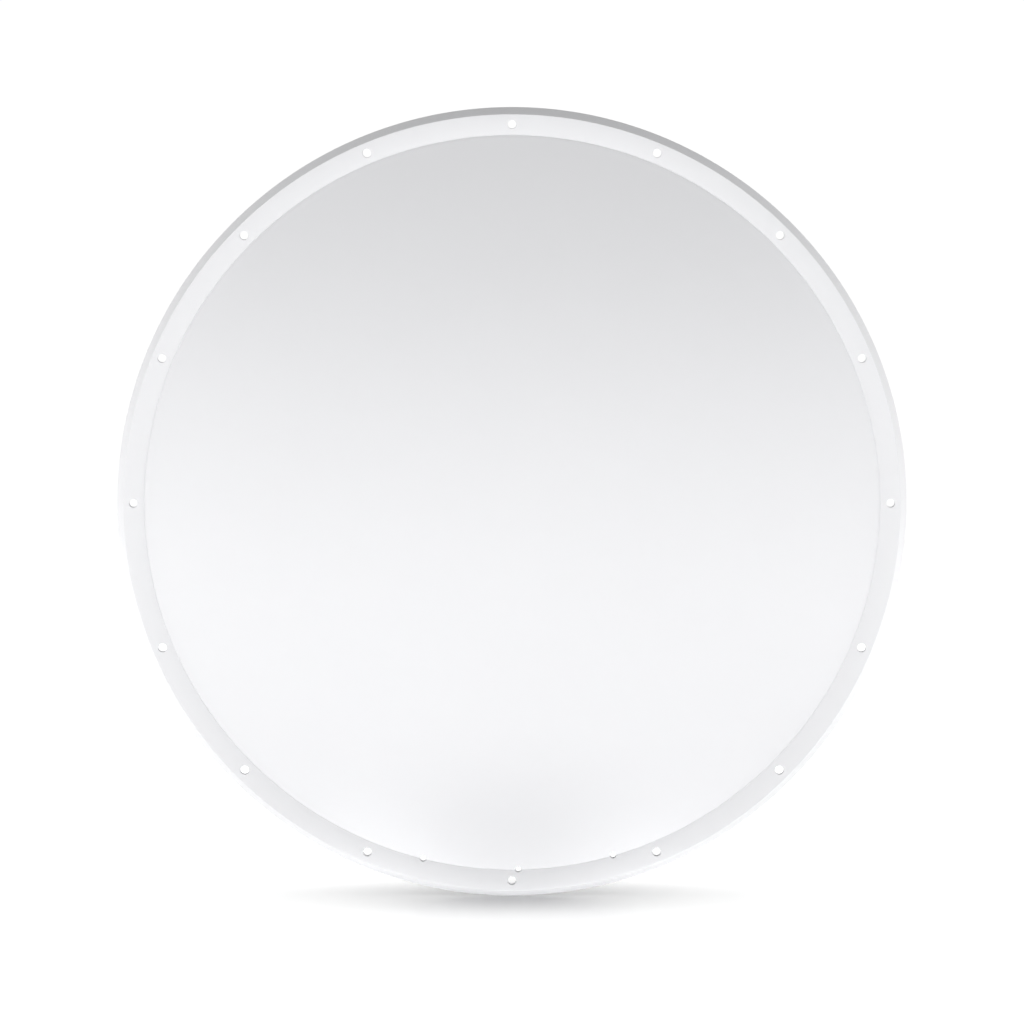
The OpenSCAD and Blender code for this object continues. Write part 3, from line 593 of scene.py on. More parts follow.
class Shape:
    """Closed surfaces gathered into one mesh, in millimetres of the local frame."""

    def __init__(self):
        self.v, self.f = [], []

    def add(self, verts, faces, place=None):
        o = len(self.v)
        self.v += [tuple(place(*p)) if place else tuple(p) for p in verts]
        self.f += [[i + o for i in f] for f in faces]

    def lathe(self, prof, seg=48, place=None, phase=0.0, loop=False):
        """A turned form. A point is (r, z), with "hex" after it for a hexagon of that half
        width across flats, or "knurl" and a depth, or "lobes", a count and a depth."""
        verts, faces, rings = [], [], []
        ph = math.radians(phase)
        for q in prof:
            r, z = q[0], q[1]
            if r < 1e-6:
                rings.append([len(verts)])
                verts.append((0.0, 0.0, z))
                continue
            kind = q[2] if len(q) > 2 else ""
            ring = []
            for k in range(seg):
                a = 2 * math.pi * k / seg
                rr = r
                if kind == "hex":
                    m = (math.degrees(a) + 30.0) % 60.0 - 30.0
                    rr = r / math.cos(math.radians(m))
                elif kind == "knurl":
                    rr = r - (q[3] if k % 2 else 0.0)
                elif kind == "lobes":
                    rr = r - q[4] * (0.5 - 0.5 * math.cos(a * q[3])) ** 3
                ring.append(len(verts))
                verts.append((rr * math.cos(a + ph), rr * math.sin(a + ph), z))
            rings.append(ring)
        n = len(rings)
        for i in range(n if loop else n - 1):
            a, b = rings[i], rings[(i + 1) % n]
            if len(a) == 1 and len(b) == 1:
                continue
            for k in range(seg):
                k2 = (k + 1) % seg
                if len(a) == 1:
                    faces.append([a[0], b[k2], b[k]])
                elif len(b) == 1:
                    faces.append([a[k], a[k2], b[0]])
                else:
                    faces.append([a[k], a[k2], b[k2], b[k]])
        self.add(verts, faces, place)

    def prism(self, outline, z0, z1, edge=0.4, place=None):
        """An outline (x, y) drawn from z0 to z1, with rounded edges."""
        pts = [Vector(p) for p in outline]
        if sum(pts[i - 1].x * pts[i].y - pts[i].x * pts[i - 1].y for i in range(len(pts))) < 0:
            pts.reverse()
        n = len(pts)

        def inset(d):
            out = []
            for i in range(n):
                e1, e2 = (pts[i] - pts[i - 1]).normalized(), (pts[(i + 1) % n] - pts[i]).normalized()
                n1, n2 = Vector((-e1.y, e1.x)), Vector((-e2.y, e2.x))
                out.append(pts[i] + (n1 + n2) * (d / max(0.25, 1 + n1.dot(n2))))
            return out
        levels = [(z0, edge), (z0 + edge * 0.12, edge * 0.5), (z0 + edge * 0.5, edge * 0.12), (z0 + edge, 0.0),
                  (z1 - edge, 0.0), (z1 - edge * 0.5, edge * 0.12), (z1 - edge * 0.12, edge * 0.5), (z1, edge)]
        verts, faces = [], []
        for z, d in levels:
            verts += [(p.x, p.y, z) for p in inset(d)]
        m = len(levels)
        faces.append([i for i in reversed(range(n))])
        faces.append([(m - 1) * n + i for i in range(n)])
        for l in range(m - 1):
            for i in range(n):
                k = (i + 1) % n
                faces.append([l * n + i, l * n + k, (l + 1) * n + k, (l + 1) * n + i])
        self.add(verts, faces, place)

    def bar(self, x0, x1, y0, y1, z0, z1, edge=0.4, corner=0.0, place=None):
        out = [(x0, y0), (x1, y0), (x1, y1), (x0, y1)]
        if corner > 0:
            out = rounded(out, corner, n=4, closed=True)
        self.prism(out, z0, z1, edge, place)

    def tube(self, pts, r, seg=14, wave=None):
        """Round wire along points, with domed ends."""
        pts = [Vector(p) for p in pts]
        n = len(pts)
        tan = [(pts[min(i + 1, n - 1)] - pts[max(i - 1, 0)]).normalized() for i in range(n)]
        up = Vector((0, 0, 1)) if abs(tan[0].z) < 0.9 else Vector((1, 0, 0))
        u = (up - tan[0] * up.dot(tan[0])).normalized()
        verts, faces, rings = [], [], []

        def ring(c, t, u, rr):
            w = t.cross(u)
            o = len(verts)
            for k in range(seg):
                a = 2 * math.pi * k / seg
                verts.append(tuple(c + (u * math.cos(a) + w * math.sin(a)) * rr))
            rings.append(list(range(o, o + seg)))
        us = [u]
        for i in range(1, n):
            q = tan[i - 1].rotation_difference(tan[i])
            u = q @ u
            u = (u - tan[i] * u.dot(tan[i])).normalized()
            us.append(u)
        ring(pts[0] - tan[0] * r * 0.3, tan[0], us[0], r * 0.7)
        for i in range(n):
            ring(pts[i], tan[i], us[i], r if wave is None else wave(i, r))
        ring(pts[-1] + tan[-1] * r * 0.3, tan[-1], us[-1], r * 0.7)
        faces.append(list(reversed(rings[0])))
        faces.append(rings[-1])
        for i in range(len(rings) - 1):
            for k in range(seg):
                k2 = (k + 1) % seg
                faces.append([rings[i][k], rings[i][k2], rings[i + 1][k2], rings[i + 1][k]])
        self.add(verts, faces)

    def build(self, name, slot, body, stand_for=(), angle=34):
        ob = put(name, self.v, self.f, slot, body, smooth=True, stand_for=stand_for)
        ob.data.set_sharp_from_angle(angle=math.radians(angle))
        return ob


def at(x, y, z=0.0, flip=False, turn=0.0):
    """Places a form made round the z axis at x, y, z; flip turns it to face -z."""
    c, s = math.cos(math.radians(turn)), math.sin(math.radians(turn))

    def f(u, v, w):
        if flip:
            v, w = -v, -w
        return (x + u * c - v * s, y + u * s + v * c, z + w)
    return f


def spots(n, r, a0=0.0):
    return [(r * math.cos(math.radians(a0 + 360.0 * i / n)), r * math.sin(math.radians(a0 + 360.0 * i / n))) for i in range(n)]


def screw(sh, place, r, length, hr, hh, washer=0.0):
    """A pan head screw with a six sided socket: head towards +z on z = 0, thread below it."""
    prof = [(0, -length), (r * 0.62, -length), (r * 0.8, -length + r * 0.35)]
    z = -length + r * 0.6
    pitch = max(0.5, r * 0.34)
    while z < -pitch * 1.2 and len(prof) < 60:
        prof += [(r * 0.985, z), (r * 0.985, z + pitch * 0.16), (r * 0.85, z + pitch * 0.52), (r * 0.85, z + pitch * 0.62)]
        z += pitch
    w = washer
    prof += [(r * 0.96, -0.05)]
    if w > 0:
        prof += [(hr * 1.28, 0.0), (hr * 1.32, w * 0.3), (hr * 1.32, w * 0.75), (hr * 1.28, w), (hr * 0.98, w)]
    prof += [(hr * 0.97, w), (hr, w + hh * 0.12), (hr, w + hh * 0.42), (hr * 0.97, w + hh * 0.62), (hr * 0.9, w + hh * 0.8), (hr * 0.78, w + hh * 0.94), (hr * 0.66, w + hh * 0.99)]
    k = min(r * 0.66, hr * 0.42)
    prof += [(k * 1.24, w + hh), (k * 1.2, w + hh * 0.97), (k, w + hh * 0.9, "hex"), (k, w + hh * 0.42, "hex"), (k * 0.55, w + hh * 0.4), (0, w + hh * 0.3)]
    sh.lathe(prof, 24, place)


def bend(points, radius, step=2.0):
    """Points of a smooth line that rounds each corner of the given one by about that radius."""
    pts = [Vector(p) for p in points]
    out = [pts[0]]
    for i in range(1, len(pts) - 1):
        a, b, c = pts[i - 1], pts[i], pts[i + 1]
        u, v = (a - b), (c - b)
        d = min(radius, u.length * 0.5, v.length * 0.5)
        p, q = b + u.normalized() * d, b + v.normalized() * d
        n = 8
        for k in range(n + 1):
            t = k / n
            out.append(p * (1 - t) ** 2 + b * (2 * t * (1 - t)) + q * t ** 2)
    out.append(pts[-1])
    clean = [out[0]]
    for p in out[1:]:
        if (p - clean[-1]).length > 0.25:
            clean.append(p)
    fine = [clean[0]]
    for p in clean[1:]:
        m = max(1, int((p - fine[-1]).length / step))
        a = fine[-1]
        for k in range(1, m + 1):
            fine.append(a.lerp(p, k / m))
    # one gentle pass evens out the joins of arcs and straights
    for _ in range(3):
        fine = [fine[0]] + [fine[i - 1] * 0.25 + fine[i] * 0.5 + fine[i + 1] * 0.25 for i in range(1, len(fine) - 1)] + [fine[-1]]
    return fine


# ------------------------------------------------------------------ shells' other parts
def pan_columns():
    cols = list(COLS)
    spans = []
    h = math.degrees(5.5 / SCREW_R)
    for k in range(8):
        c = -180.0 + 11.25 + 45.0 * k
        spans.append((c - h, c + h))
    keep = [a for a in cols if all(not (lo - 0.45 < a + w < hi + 0.45) for lo, hi in spans for w in (0, 360, -360))]
    for lo, hi in spans:
        keep += [lo + (hi - lo) * i / 8 for i in range(9)]
    return sorted(set(round(a, 6) for a in keep)), h


def build_pan():
    cols, h = pan_columns()
    front_r = [276.5, 279.0, 282.5, 284.0, 285.5, 287.0, 288.0, 289.0, 290.5, 292.0, 293.5, 295.5] + RING_R
    prof = [(0, PZ + 5), (60, PZ + 5), (120, PZ + 5), (180, PZ + 5)]
    prof += rounded([(200, PZ + 5), (222, PZ + 5), (236, PZ + 11), (256, -98), (266, -60), (273, -10), (273.8, -2), (276.5, -2)], [0, 10, 14, 26, 40, 30, 1.0, 0], n=7)
    prof += [(r, -2.0) for r in front_r[1:]]
    prof += rounded([(316.4, -2), (317, -2), (317, -7), (316.2, -7)], [0, 0.45, 0.6, 0], n=4)
    prof += [(r, -7.0) for r in reversed(front_r)][0:-2]
    prof += rounded([(280.6, -7), (279.3, -7), (277.6, -11), (271, -60), (261.5, -100), (241, PZ + 4), (227, PZ), (209, PZ)], [0, 1.2, 5, 40, 26, 16, 14, 0], n=7)
    # a shallow moulded channel round the back
    prof += rounded([(208.4, PZ), (207.4, PZ), (206.4, PZ + 1.0), (202.4, PZ + 1.0), (201.4, PZ), (200.4, PZ)], [0, 0.4, 0.5, 0.5, 0.4, 0], n=3)
    prof += [(150, PZ), (100, PZ), (50, PZ), (0, PZ)]
    patches = rim_patches(BOLT_HOLE, 0.4)
    for k in range(8):
        c = -180.0 + 11.25 + 45.0 * k
        patches.append((SCREW_R, c, 2.7, 282.5, 293.5, c - h, c + h, 0.35))
    DRAIN_HALF_HOLE[0] = DRAIN_HOLE
    return perforated("rear_pan_shell", prof, cols, patches, "pan_plastic", "base", stand_for=("rear_pan",), smooth_angle=34)


def build_pan_fittings():
    sh = Shape()
    # gussets under the rim
    for k in range(16):
        a = math.radians(22.5 * k)
        c, s = math.cos(a), math.sin(a)

        def place(u, v, w, c=c, s=s):
            return (u * c - w * s, u * s + w * c, v)
        hyp = [(301 - 25 * t + 3.2 * math.sin(math.pi * t), -9 - 25 * t + 3.2 * math.sin(math.pi * t) * 0.9) for t in [i / 8 for i in range(9)]]
        hyp = [(x - 3.0 * math.sin(math.pi * i / 8), z) for i, (x, z) in enumerate(hyp)]
        sh.prism([(271.5, -6.2), (300.4, -6.2), (301, -6.8)] + hyp + [(269.5, -35)], -2.0, 2.0, 0.6, place)
    # mounting feet, moulded solid round their inserts
    for x in (-110, 110):
        for y in (-90, 90):
            sh.lathe([(6.02, -129.6), (6.02, FZ + 0.5), (6.5, FZ), (22.9, FZ), (23.7, FZ + 0.25), (24, FZ + 1.0), (24, -136), (24.4, -133.4), (25.6, -131.4), (27.6, -130.3), (30, -129.9), (30, -129.0), (6.02, -129.0)],
                     72, at(x, y), loop=True)
            sh.lathe([(0, -126), (17, -126), (17, -125.05), (15, -124.6), (14.2, -123.4), (14, -121.8), (13.4, -121.05), (12.9, -121), (0, -121)], 48, at(x, y))
    # seats for the connectors, the vent and the earth stud
    for x, y, r, h in ((38, -150, 20, 3.0), (-38, -150, 20, 3.0), (104, -150, 11.5, 0.4), (-104, -150, 9.5, 0.4)):
        sh.lathe([(0, -129.3), (r + 3.2, -129.3), (r + 3.2, PZ - 0.02), (r + 1.3, PZ - 0.25 * min(1, h)), (r + 0.3, PZ - 0.5 * h), (r, PZ - h + 0.25), (r - 0.5, PZ - h), (0, PZ - h)], 72, at(x, y))
    # ribs, ring and posts inside
    for a in (15, 45, 75, 105, 135, 165, 195, 225, 315, 345):
        sh.bar(69, 224, -1.5, 1.5, PZ + 4, PZ + 10, 0.6, place=at(0, 0, turn=a))
    sh.lathe([(67, PZ + 4), (67, PZ + 9.4), (67.6, PZ + 10), (69.4, PZ + 10), (70, PZ + 9.4), (70, PZ + 4)], 128, loop=True)
    for x, y in spots(6, 182, 30):
        sh.lathe([(0, PZ + 4), (13, PZ + 4), (13, PZ + 5.1), (10.4, PZ + 5.9), (9.2, PZ + 7.6), (8.6, PZ + 11), (8, -80.4), (7.6, -80), (0, -80)], 40, at(x, y))
    sh.build("rear_pan_ribs_and_feet", "pan_plastic", "base", angle=40)


build_pan()
build_pan_fittings()


def build_radome_bosses():
    """Eight screw bosses that grow out of the dome's inner face."""
    sh = Shape()
    for k in range(8):
        a0 = math.radians(11.25 + 45.0 * k)
        cx, cy = SCREW_R * math.cos(a0), SCREW_R * math.sin(a0)
        seg = 40
        rings = []
        verts, faces = [], []
        for r, z in ((3.62, 7.0), (3.62, -1.4), (4.1, -2.0), (6.5, -2.0), (7.0, -1.5), (7.0, None), (8.6, "foot")):
            ring = []
            for i in range(seg):
                t = 2 * math.pi * i / seg
                x, y = cx + r * math.cos(t), cy + r * math.sin(t)
                zz = z
                rr = min(math.hypot(x, y), 295.5)
                if z is None:
                    zz = inner_z(rr) - 1.4
                elif z == "foot":
                    zz = inner_z(rr) + 0.8
                ring.append(len(verts))
                verts.append((x, y, zz))
            rings.append(ring)
        for a, b in zip(rings, rings[1:]):
            for i in range(seg):
                j = (i + 1) % seg
                faces.append([a[i], a[j], b[j], b[i]])
        cap = len(verts)
        verts.append((cx, cy, 7.0))
        top = len(verts)
        verts.append((cx, cy, inner_z(SCREW_R) + 0.8))
        for i in range(seg):
            j = (i + 1) % seg
            faces.append([rings[0][j], rings[0][i], cap])
            faces.append([rings[-1][i], rings[-1][j], top])
        sh.add(verts, faces)
    sh.build("radome_screw_bosses", "radome_plastic", "radome_cover", angle=40)
    ins = Shape()
    for x, y in spots(8, SCREW_R, 11.25):
        ins.lathe([(2.5, 6.9), (3.2, 7.0), (3.6, 6.6, "knurl", 0.22), (3.6, 3.0, "knurl", 0.22), (3.2, 2.7), (3.2, 2.0), (3.6, 1.7, "knurl", 0.22), (3.6, -1.2, "knurl", 0.22), (3.3, -1.7), (3.2, -2.0), (2.8, -2.0), (2.5, -1.6)], 48, at(x, y), loop=True)
    ins.build("radome_thread_inserts", "brass", "radome_cover", stand_for=("radome_inserts",))
    ins = Shape()
    for x in (-110, 110):
        for y in (-90, 90):
            ins.lathe([(3.4, -130.0), (5.6, -130.0), (6.0, -130.5, "knurl", 0.3), (6.0, -138, "knurl", 0.3), (5.5, -138.5), (5.5, -141), (6.0, -141.5, "knurl", 0.3), (6.0, -149.0, "knurl", 0.3), (5.8, -149.7), (5.6, -150.0), (3.9, -150.0), (3.4, -149.4)], 64, at(x, y), loop=True)
    ins.build("foot_thread_inserts", "brass", "base", stand_for=("mounting_inserts",))


build_radome_bosses()

# ------------------------------------------------------------------ screws
CHAS_TOP, CHAS_BOT = -76.0, -80.0
GZ0, GZ1 = -50.0, -44.0
AZ0, AZ1 = -30, 20.0
ARRAY_HALF = 258.0
IDLER = (-96.0, 0.0)
PIN = (-121.45584, -25.45584)


def screws(name, node, body, items, r, length, hr, hh, extra=None, washer=0.0):
    sh = Shape()
    for place in items:
        screw(sh, place, r, length, hr, hh, washer)
    if extra:
        extra(sh)
    return sh.build(name, SLOT_OF[node], body, stand_for=(node,), angle=38)


def nuts(sh):
    for x, y in spots(6, 44):
        sh.lathe([(1.95, -80.0), (3.5, -80.0, "hex"), (3.5, -82.5, "hex"), (3.3, -82.9), (2.5, -83.0), (1.95, -82.7)], 36, at(x, y), loop=True)


def array_end_screws(sh):
    for s in (-1, 1):
        for z in (AZ0 + 5, AZ1 - 5):
            def place(u, v, w, s=s, z=z):
                return (s * (ARRAY_HALF + 4 + w), -14 + v * s, z + u)
            screw(sh, place, 1.2, 9, 2.4, 1.6)


CORNERS = [(x, y) for b in ((-62, 78, -172, -104), (102, 170, -50, 58)) for x in (b[0] + 5, b[1] - 5) for y in (b[2] + 5, b[3] - 5)]
screws("rim_cover_screws", "shell_screws", "base", [at(x, y, -7, flip=True) for x, y in spots(8, SCREW_R, 11.25)], 2.4, 12, 4.5, 3.2)
screws("chassis_fixing_screws", "chassis_screws", "base", [at(x, y, CHAS_TOP) for x, y in spots(6, 182, 30)], 1.9, 16, 4.0, 2.6)
screws("housing_fixing_screws", "housing_screws", "base", [at(x, y, CHAS_TOP + 5) for x, y in spots(6, 44)], 1.9, 13, 3.8, 2.6, nuts)
screws("gear_fixing_screws", "gear_screws", "rotor", [at(x, y, GZ0, flip=True) for x, y in spots(6, 26)], 1.5, 8.5, 2.8, 1.6)
screws("motor_fixing_screws", "motor_screws", "base", [at(PIN[0] + x, PIN[1] + y, CHAS_TOP) for x, y in spots(4, 21.9, 45)], 1.4, 8.5, 2.75, 2.0)
screws("bracket_fixing_screws", "bracket_screws", "rotor", [at(x, y, GZ1 + 8) for x, y in spots(4, 24, 45)], 1.9, 11, 3.6, 2.4)
screws("array_fixing_screws", "array_screws", "rotor", [at(x, y, GZ1 + 4, flip=True) for x in (-53, 53) for y in (-16, 16)], 1.6, 11, 3.4, 2.2, array_end_screws)
screws("lid_fixing_screws", "lid_screws", "base", [at(x, y, -49) for x in (-81, 0, 81) for y in (99, 161)], 1.4, 10, 2.8, 1.8)
screws("board_fixing_screws", "board_screws", "base", [at(x, y, -68.4) for x, y in CORNERS], 1.3, 5.5, 2.7, 1.8)


# ------------------------------------------------------------------ rear fittings
def build_caps():
    """Screw-on sealing caps with a lobed grip, the connectors behind them, their back nuts, the vent plug and the earth
    stud.
    """
    sh = Shape()
    for x in (-38, 38):
        g = ("lobes", 18, 0.9)
        sh.lathe([(0, -149.5), (6.6, -149.5), (7.0, -149.1), (9.6, -149.1), (10.0, -149.5), (12.2, -149.4), (13.3, -148.9) + g, (14.0, -148.0) + g, (14.1, -146.5) + g,
                  (14.1, -141.0) + g, (14.0, -139.9) + g, (13.5, -139.3), (13.5, -138.5), (13.1, -138.1), (11.3, -138.1), (11.3, -147.6), (0, -147.6)], 144, at(x, -150))
    sh.build("connector_sealing_caps", "rubber_cap", "base", stand_for=("connector_caps",), angle=30)
    for nm, node, x in (("power_connector_body", "power_connector", -38), ("data_connector_body", "data_connector", 38)):
        sh = Shape()
        # knurled collar, threaded nose, threaded tail and pin carrier
        thread = []
        z = -146.6
        while z < -137.4:
            thread += [(11.0, z), (11.0, z + 0.2), (10.45, z + 0.62), (10.45, z + 0.8)]
            z += 1.1
        tail = []
        z = -132.6
        while z < -115.2:
            tail += [(10.9, z), (10.9, z + 0.2), (10.35, z + 0.62), (10.35, z + 0.8)]
            z += 1.1
        prof = [(0, -138.0), (8.9, -138.0), (9.0, -138.4), (9.0, -147.6), (9.4, -148.0), (10.4, -148.0), (10.9, -147.4)] + thread
        prof += [(10.4, -136.2), (14.6, -136.0), (15.7, -135.9, "knurl", 0.5), (16.0, -135.4, "knurl", 0.5), (16.0, -133.6, "knurl", 0.5), (15.7, -133.05), (11.4, -133.0)]
        prof += tail + [(10.6, -114.4), (10.2, -114.0), (8.6, -114.0), (8.2, -114.5), (8.0, -118.6), (0, -118.6)]
        sh.lathe(prof, 96, at(x, -150))
        n = 4 if x < 0 else 6
        for px, py in spots(n, 4.5):
            sh.lathe([(0, -144.6), (0.5, -144.4), (0.8, -143.8), (0.8, -137.9), (0, -137.9)], 16, at(x + px, -150 + py))
            sh.lathe([(0, -118.9), (0.8, -118.9), (0.8, -116.6), (0.5, -116.2), (0, -116.1)], 16, at(x + px, -150 + py))
        sh.build(nm, SLOT_OF[node], "base", stand_for=(node,), angle=36)
    sh = Shape()
    for x in (-38, 38):
        sh.lathe([(10.95, -125.0), (13.6, -125.0), (13.86, -124.7, "hex"), (13.86, -121.4, "hex"), (13.4, -121.05), (11.4, -121.0), (10.95, -121.4)], 72, at(x, -150), phase=30, loop=True)
    sh.build("connector_back_nuts", SLOT_OF["connector_nuts"], "base", stand_for=("connector_nuts",), angle=30)
    # vent plug: hexagon and cap; earth stud: thread, a washer, nuts
    sh = Shape()
    x, y = 104, -150
    sh.lathe([(0, -136.0), (4.6, -136.0), (4.9, -135.7), (6.3, -135.5), (6.5, -135.2), (6.5, -134.3), (6.2, -134.1), (7.4, -134.0), (7.8, -133.7, "hex"), (7.8, -130.5, "hex"), (7.5, -130.4), (4.9, -130.4), (4.9, -122.4), (4.5, -122.0), (0, -122.0)], 72, at(x, y), phase=30)
    sh.build("vent_plug_body", SLOT_OF["vent_plug"], "base", stand_for=("vent_plug",), angle=30)
    sh = Shape()
    x, y = -104, -150
    prof = [(0, -145.0), (2.2, -145.0), (2.6, -144.5)]
    z = -144.2
    while z < -123.4:
        prof += [(2.95, z), (2.95, z + 0.16), (2.6, z + 0.5), (2.6, z + 0.62)]
        z += 1.0
    prof += [(2.6, -122.3), (2.2, -122.0), (0, -122.0)]
    sh.lathe(prof, 32, at(x, y))
    for z0, z1 in ((-136.6, -131.5), (-125.0, -120.6)):
        sh.lathe([(2.95, z0 + 0.4), (3.4, z0), (4.5, z0), (5.02, z0 + 0.35, "hex"), (5.02, z1 - 0.35, "hex"), (4.5, z1), (3.4, z1), (2.95, z1 - 0.4)], 36, at(x, y), phase=30, loop=True)
    sh.lathe([(2.95, -131.45), (6.0, -131.45), (6.2, -131.3), (6.2, -130.55), (6.0, -130.4), (2.95, -130.4)], 48, at(x, y), loop=True)
    sh.build("earth_stud_set", SLOT_OF["ground_stud"], "base", stand_for=("ground_stud",), angle=32)


build_caps()


# ------------------------------------------------------------------ cables
def build_cables():
    sh = Shape()
    paths = ([(-38, -150, -119), (-38, -150, -110), (-20, -122, -100), (60, -104, -94), (88, -100, -90), (88, -100, -66), (86, -118, -63), (74, -118, -63)],
             [(38, -150, -119), (38, -150, -110), (84, -112, -104), (91.5, -96, -96), (91.5, -96, -68), (110, -62, -64), (127, -50, -64), (127, -38, -64)])
    ties = Shape()
    for pts in paths:
        line = bend(pts, 9.0, 1.6)
        sh.tube(line, 2.15, 16, lambda i, r: r * (1 + 0.012 * math.sin(i * 0.9)))
        for f in (0.25, 0.5, 0.62):
            i = int(len(line) * f)
            t = (line[i + 1] - line[i - 1]).normalized()
            u = t.orthogonal().normalized()
            w = t.cross(u)
            ring = [(2.2, -1.2), (2.75, -1.2), (2.85, -1.0), (2.85, 1.0), (2.75, 1.2), (2.2, 1.2)]

            def place(a, b, c, p=line[i], t=t, u=u, w=w):
                return tuple(p + u * a + w * b + t * c)
            ties.lathe(ring, 24, place, loop=True)
            ties.bar(2.6, 5.0, -1.5, 1.5, -1.6, 1.6, 0.3, place=place)
    sh.build("loom_cables", "cable_jacket", "base", stand_for=("wiring_loom",), angle=40)
    ties.build("loom_ties", "black_plastic", "base", stand_for=("wiring_loom",), angle=34)
    sh = Shape()
    line = bend([(0, 26, -116), (0, 62, -116), (12, 78, -106), (12, 78, -68), (12, 83, -62), (12, 94, -62)], 7.0, 1.2)
    sh.tube(line, 1.65, 16)
    for place in (lambda u, v, w: (u, 26.0 + w, -116.0 + v), lambda u, v, w: (12.0 + u, 92.0 - w, -62.0 + v)):
        sh.lathe([(1.7, -2.0), (3.3, -2.0), (3.5, -1.7, "hex"), (3.5, 3.0, "hex"), (3.3, 3.4), (2.5, 3.6), (2.3, 4.2), (2.3, 6.4), (1.7, 6.8)], 36, place, loop=True)
    sh.build("coax_link", "coax", "base", stand_for=("rf_coax",), angle=34)


build_cables()


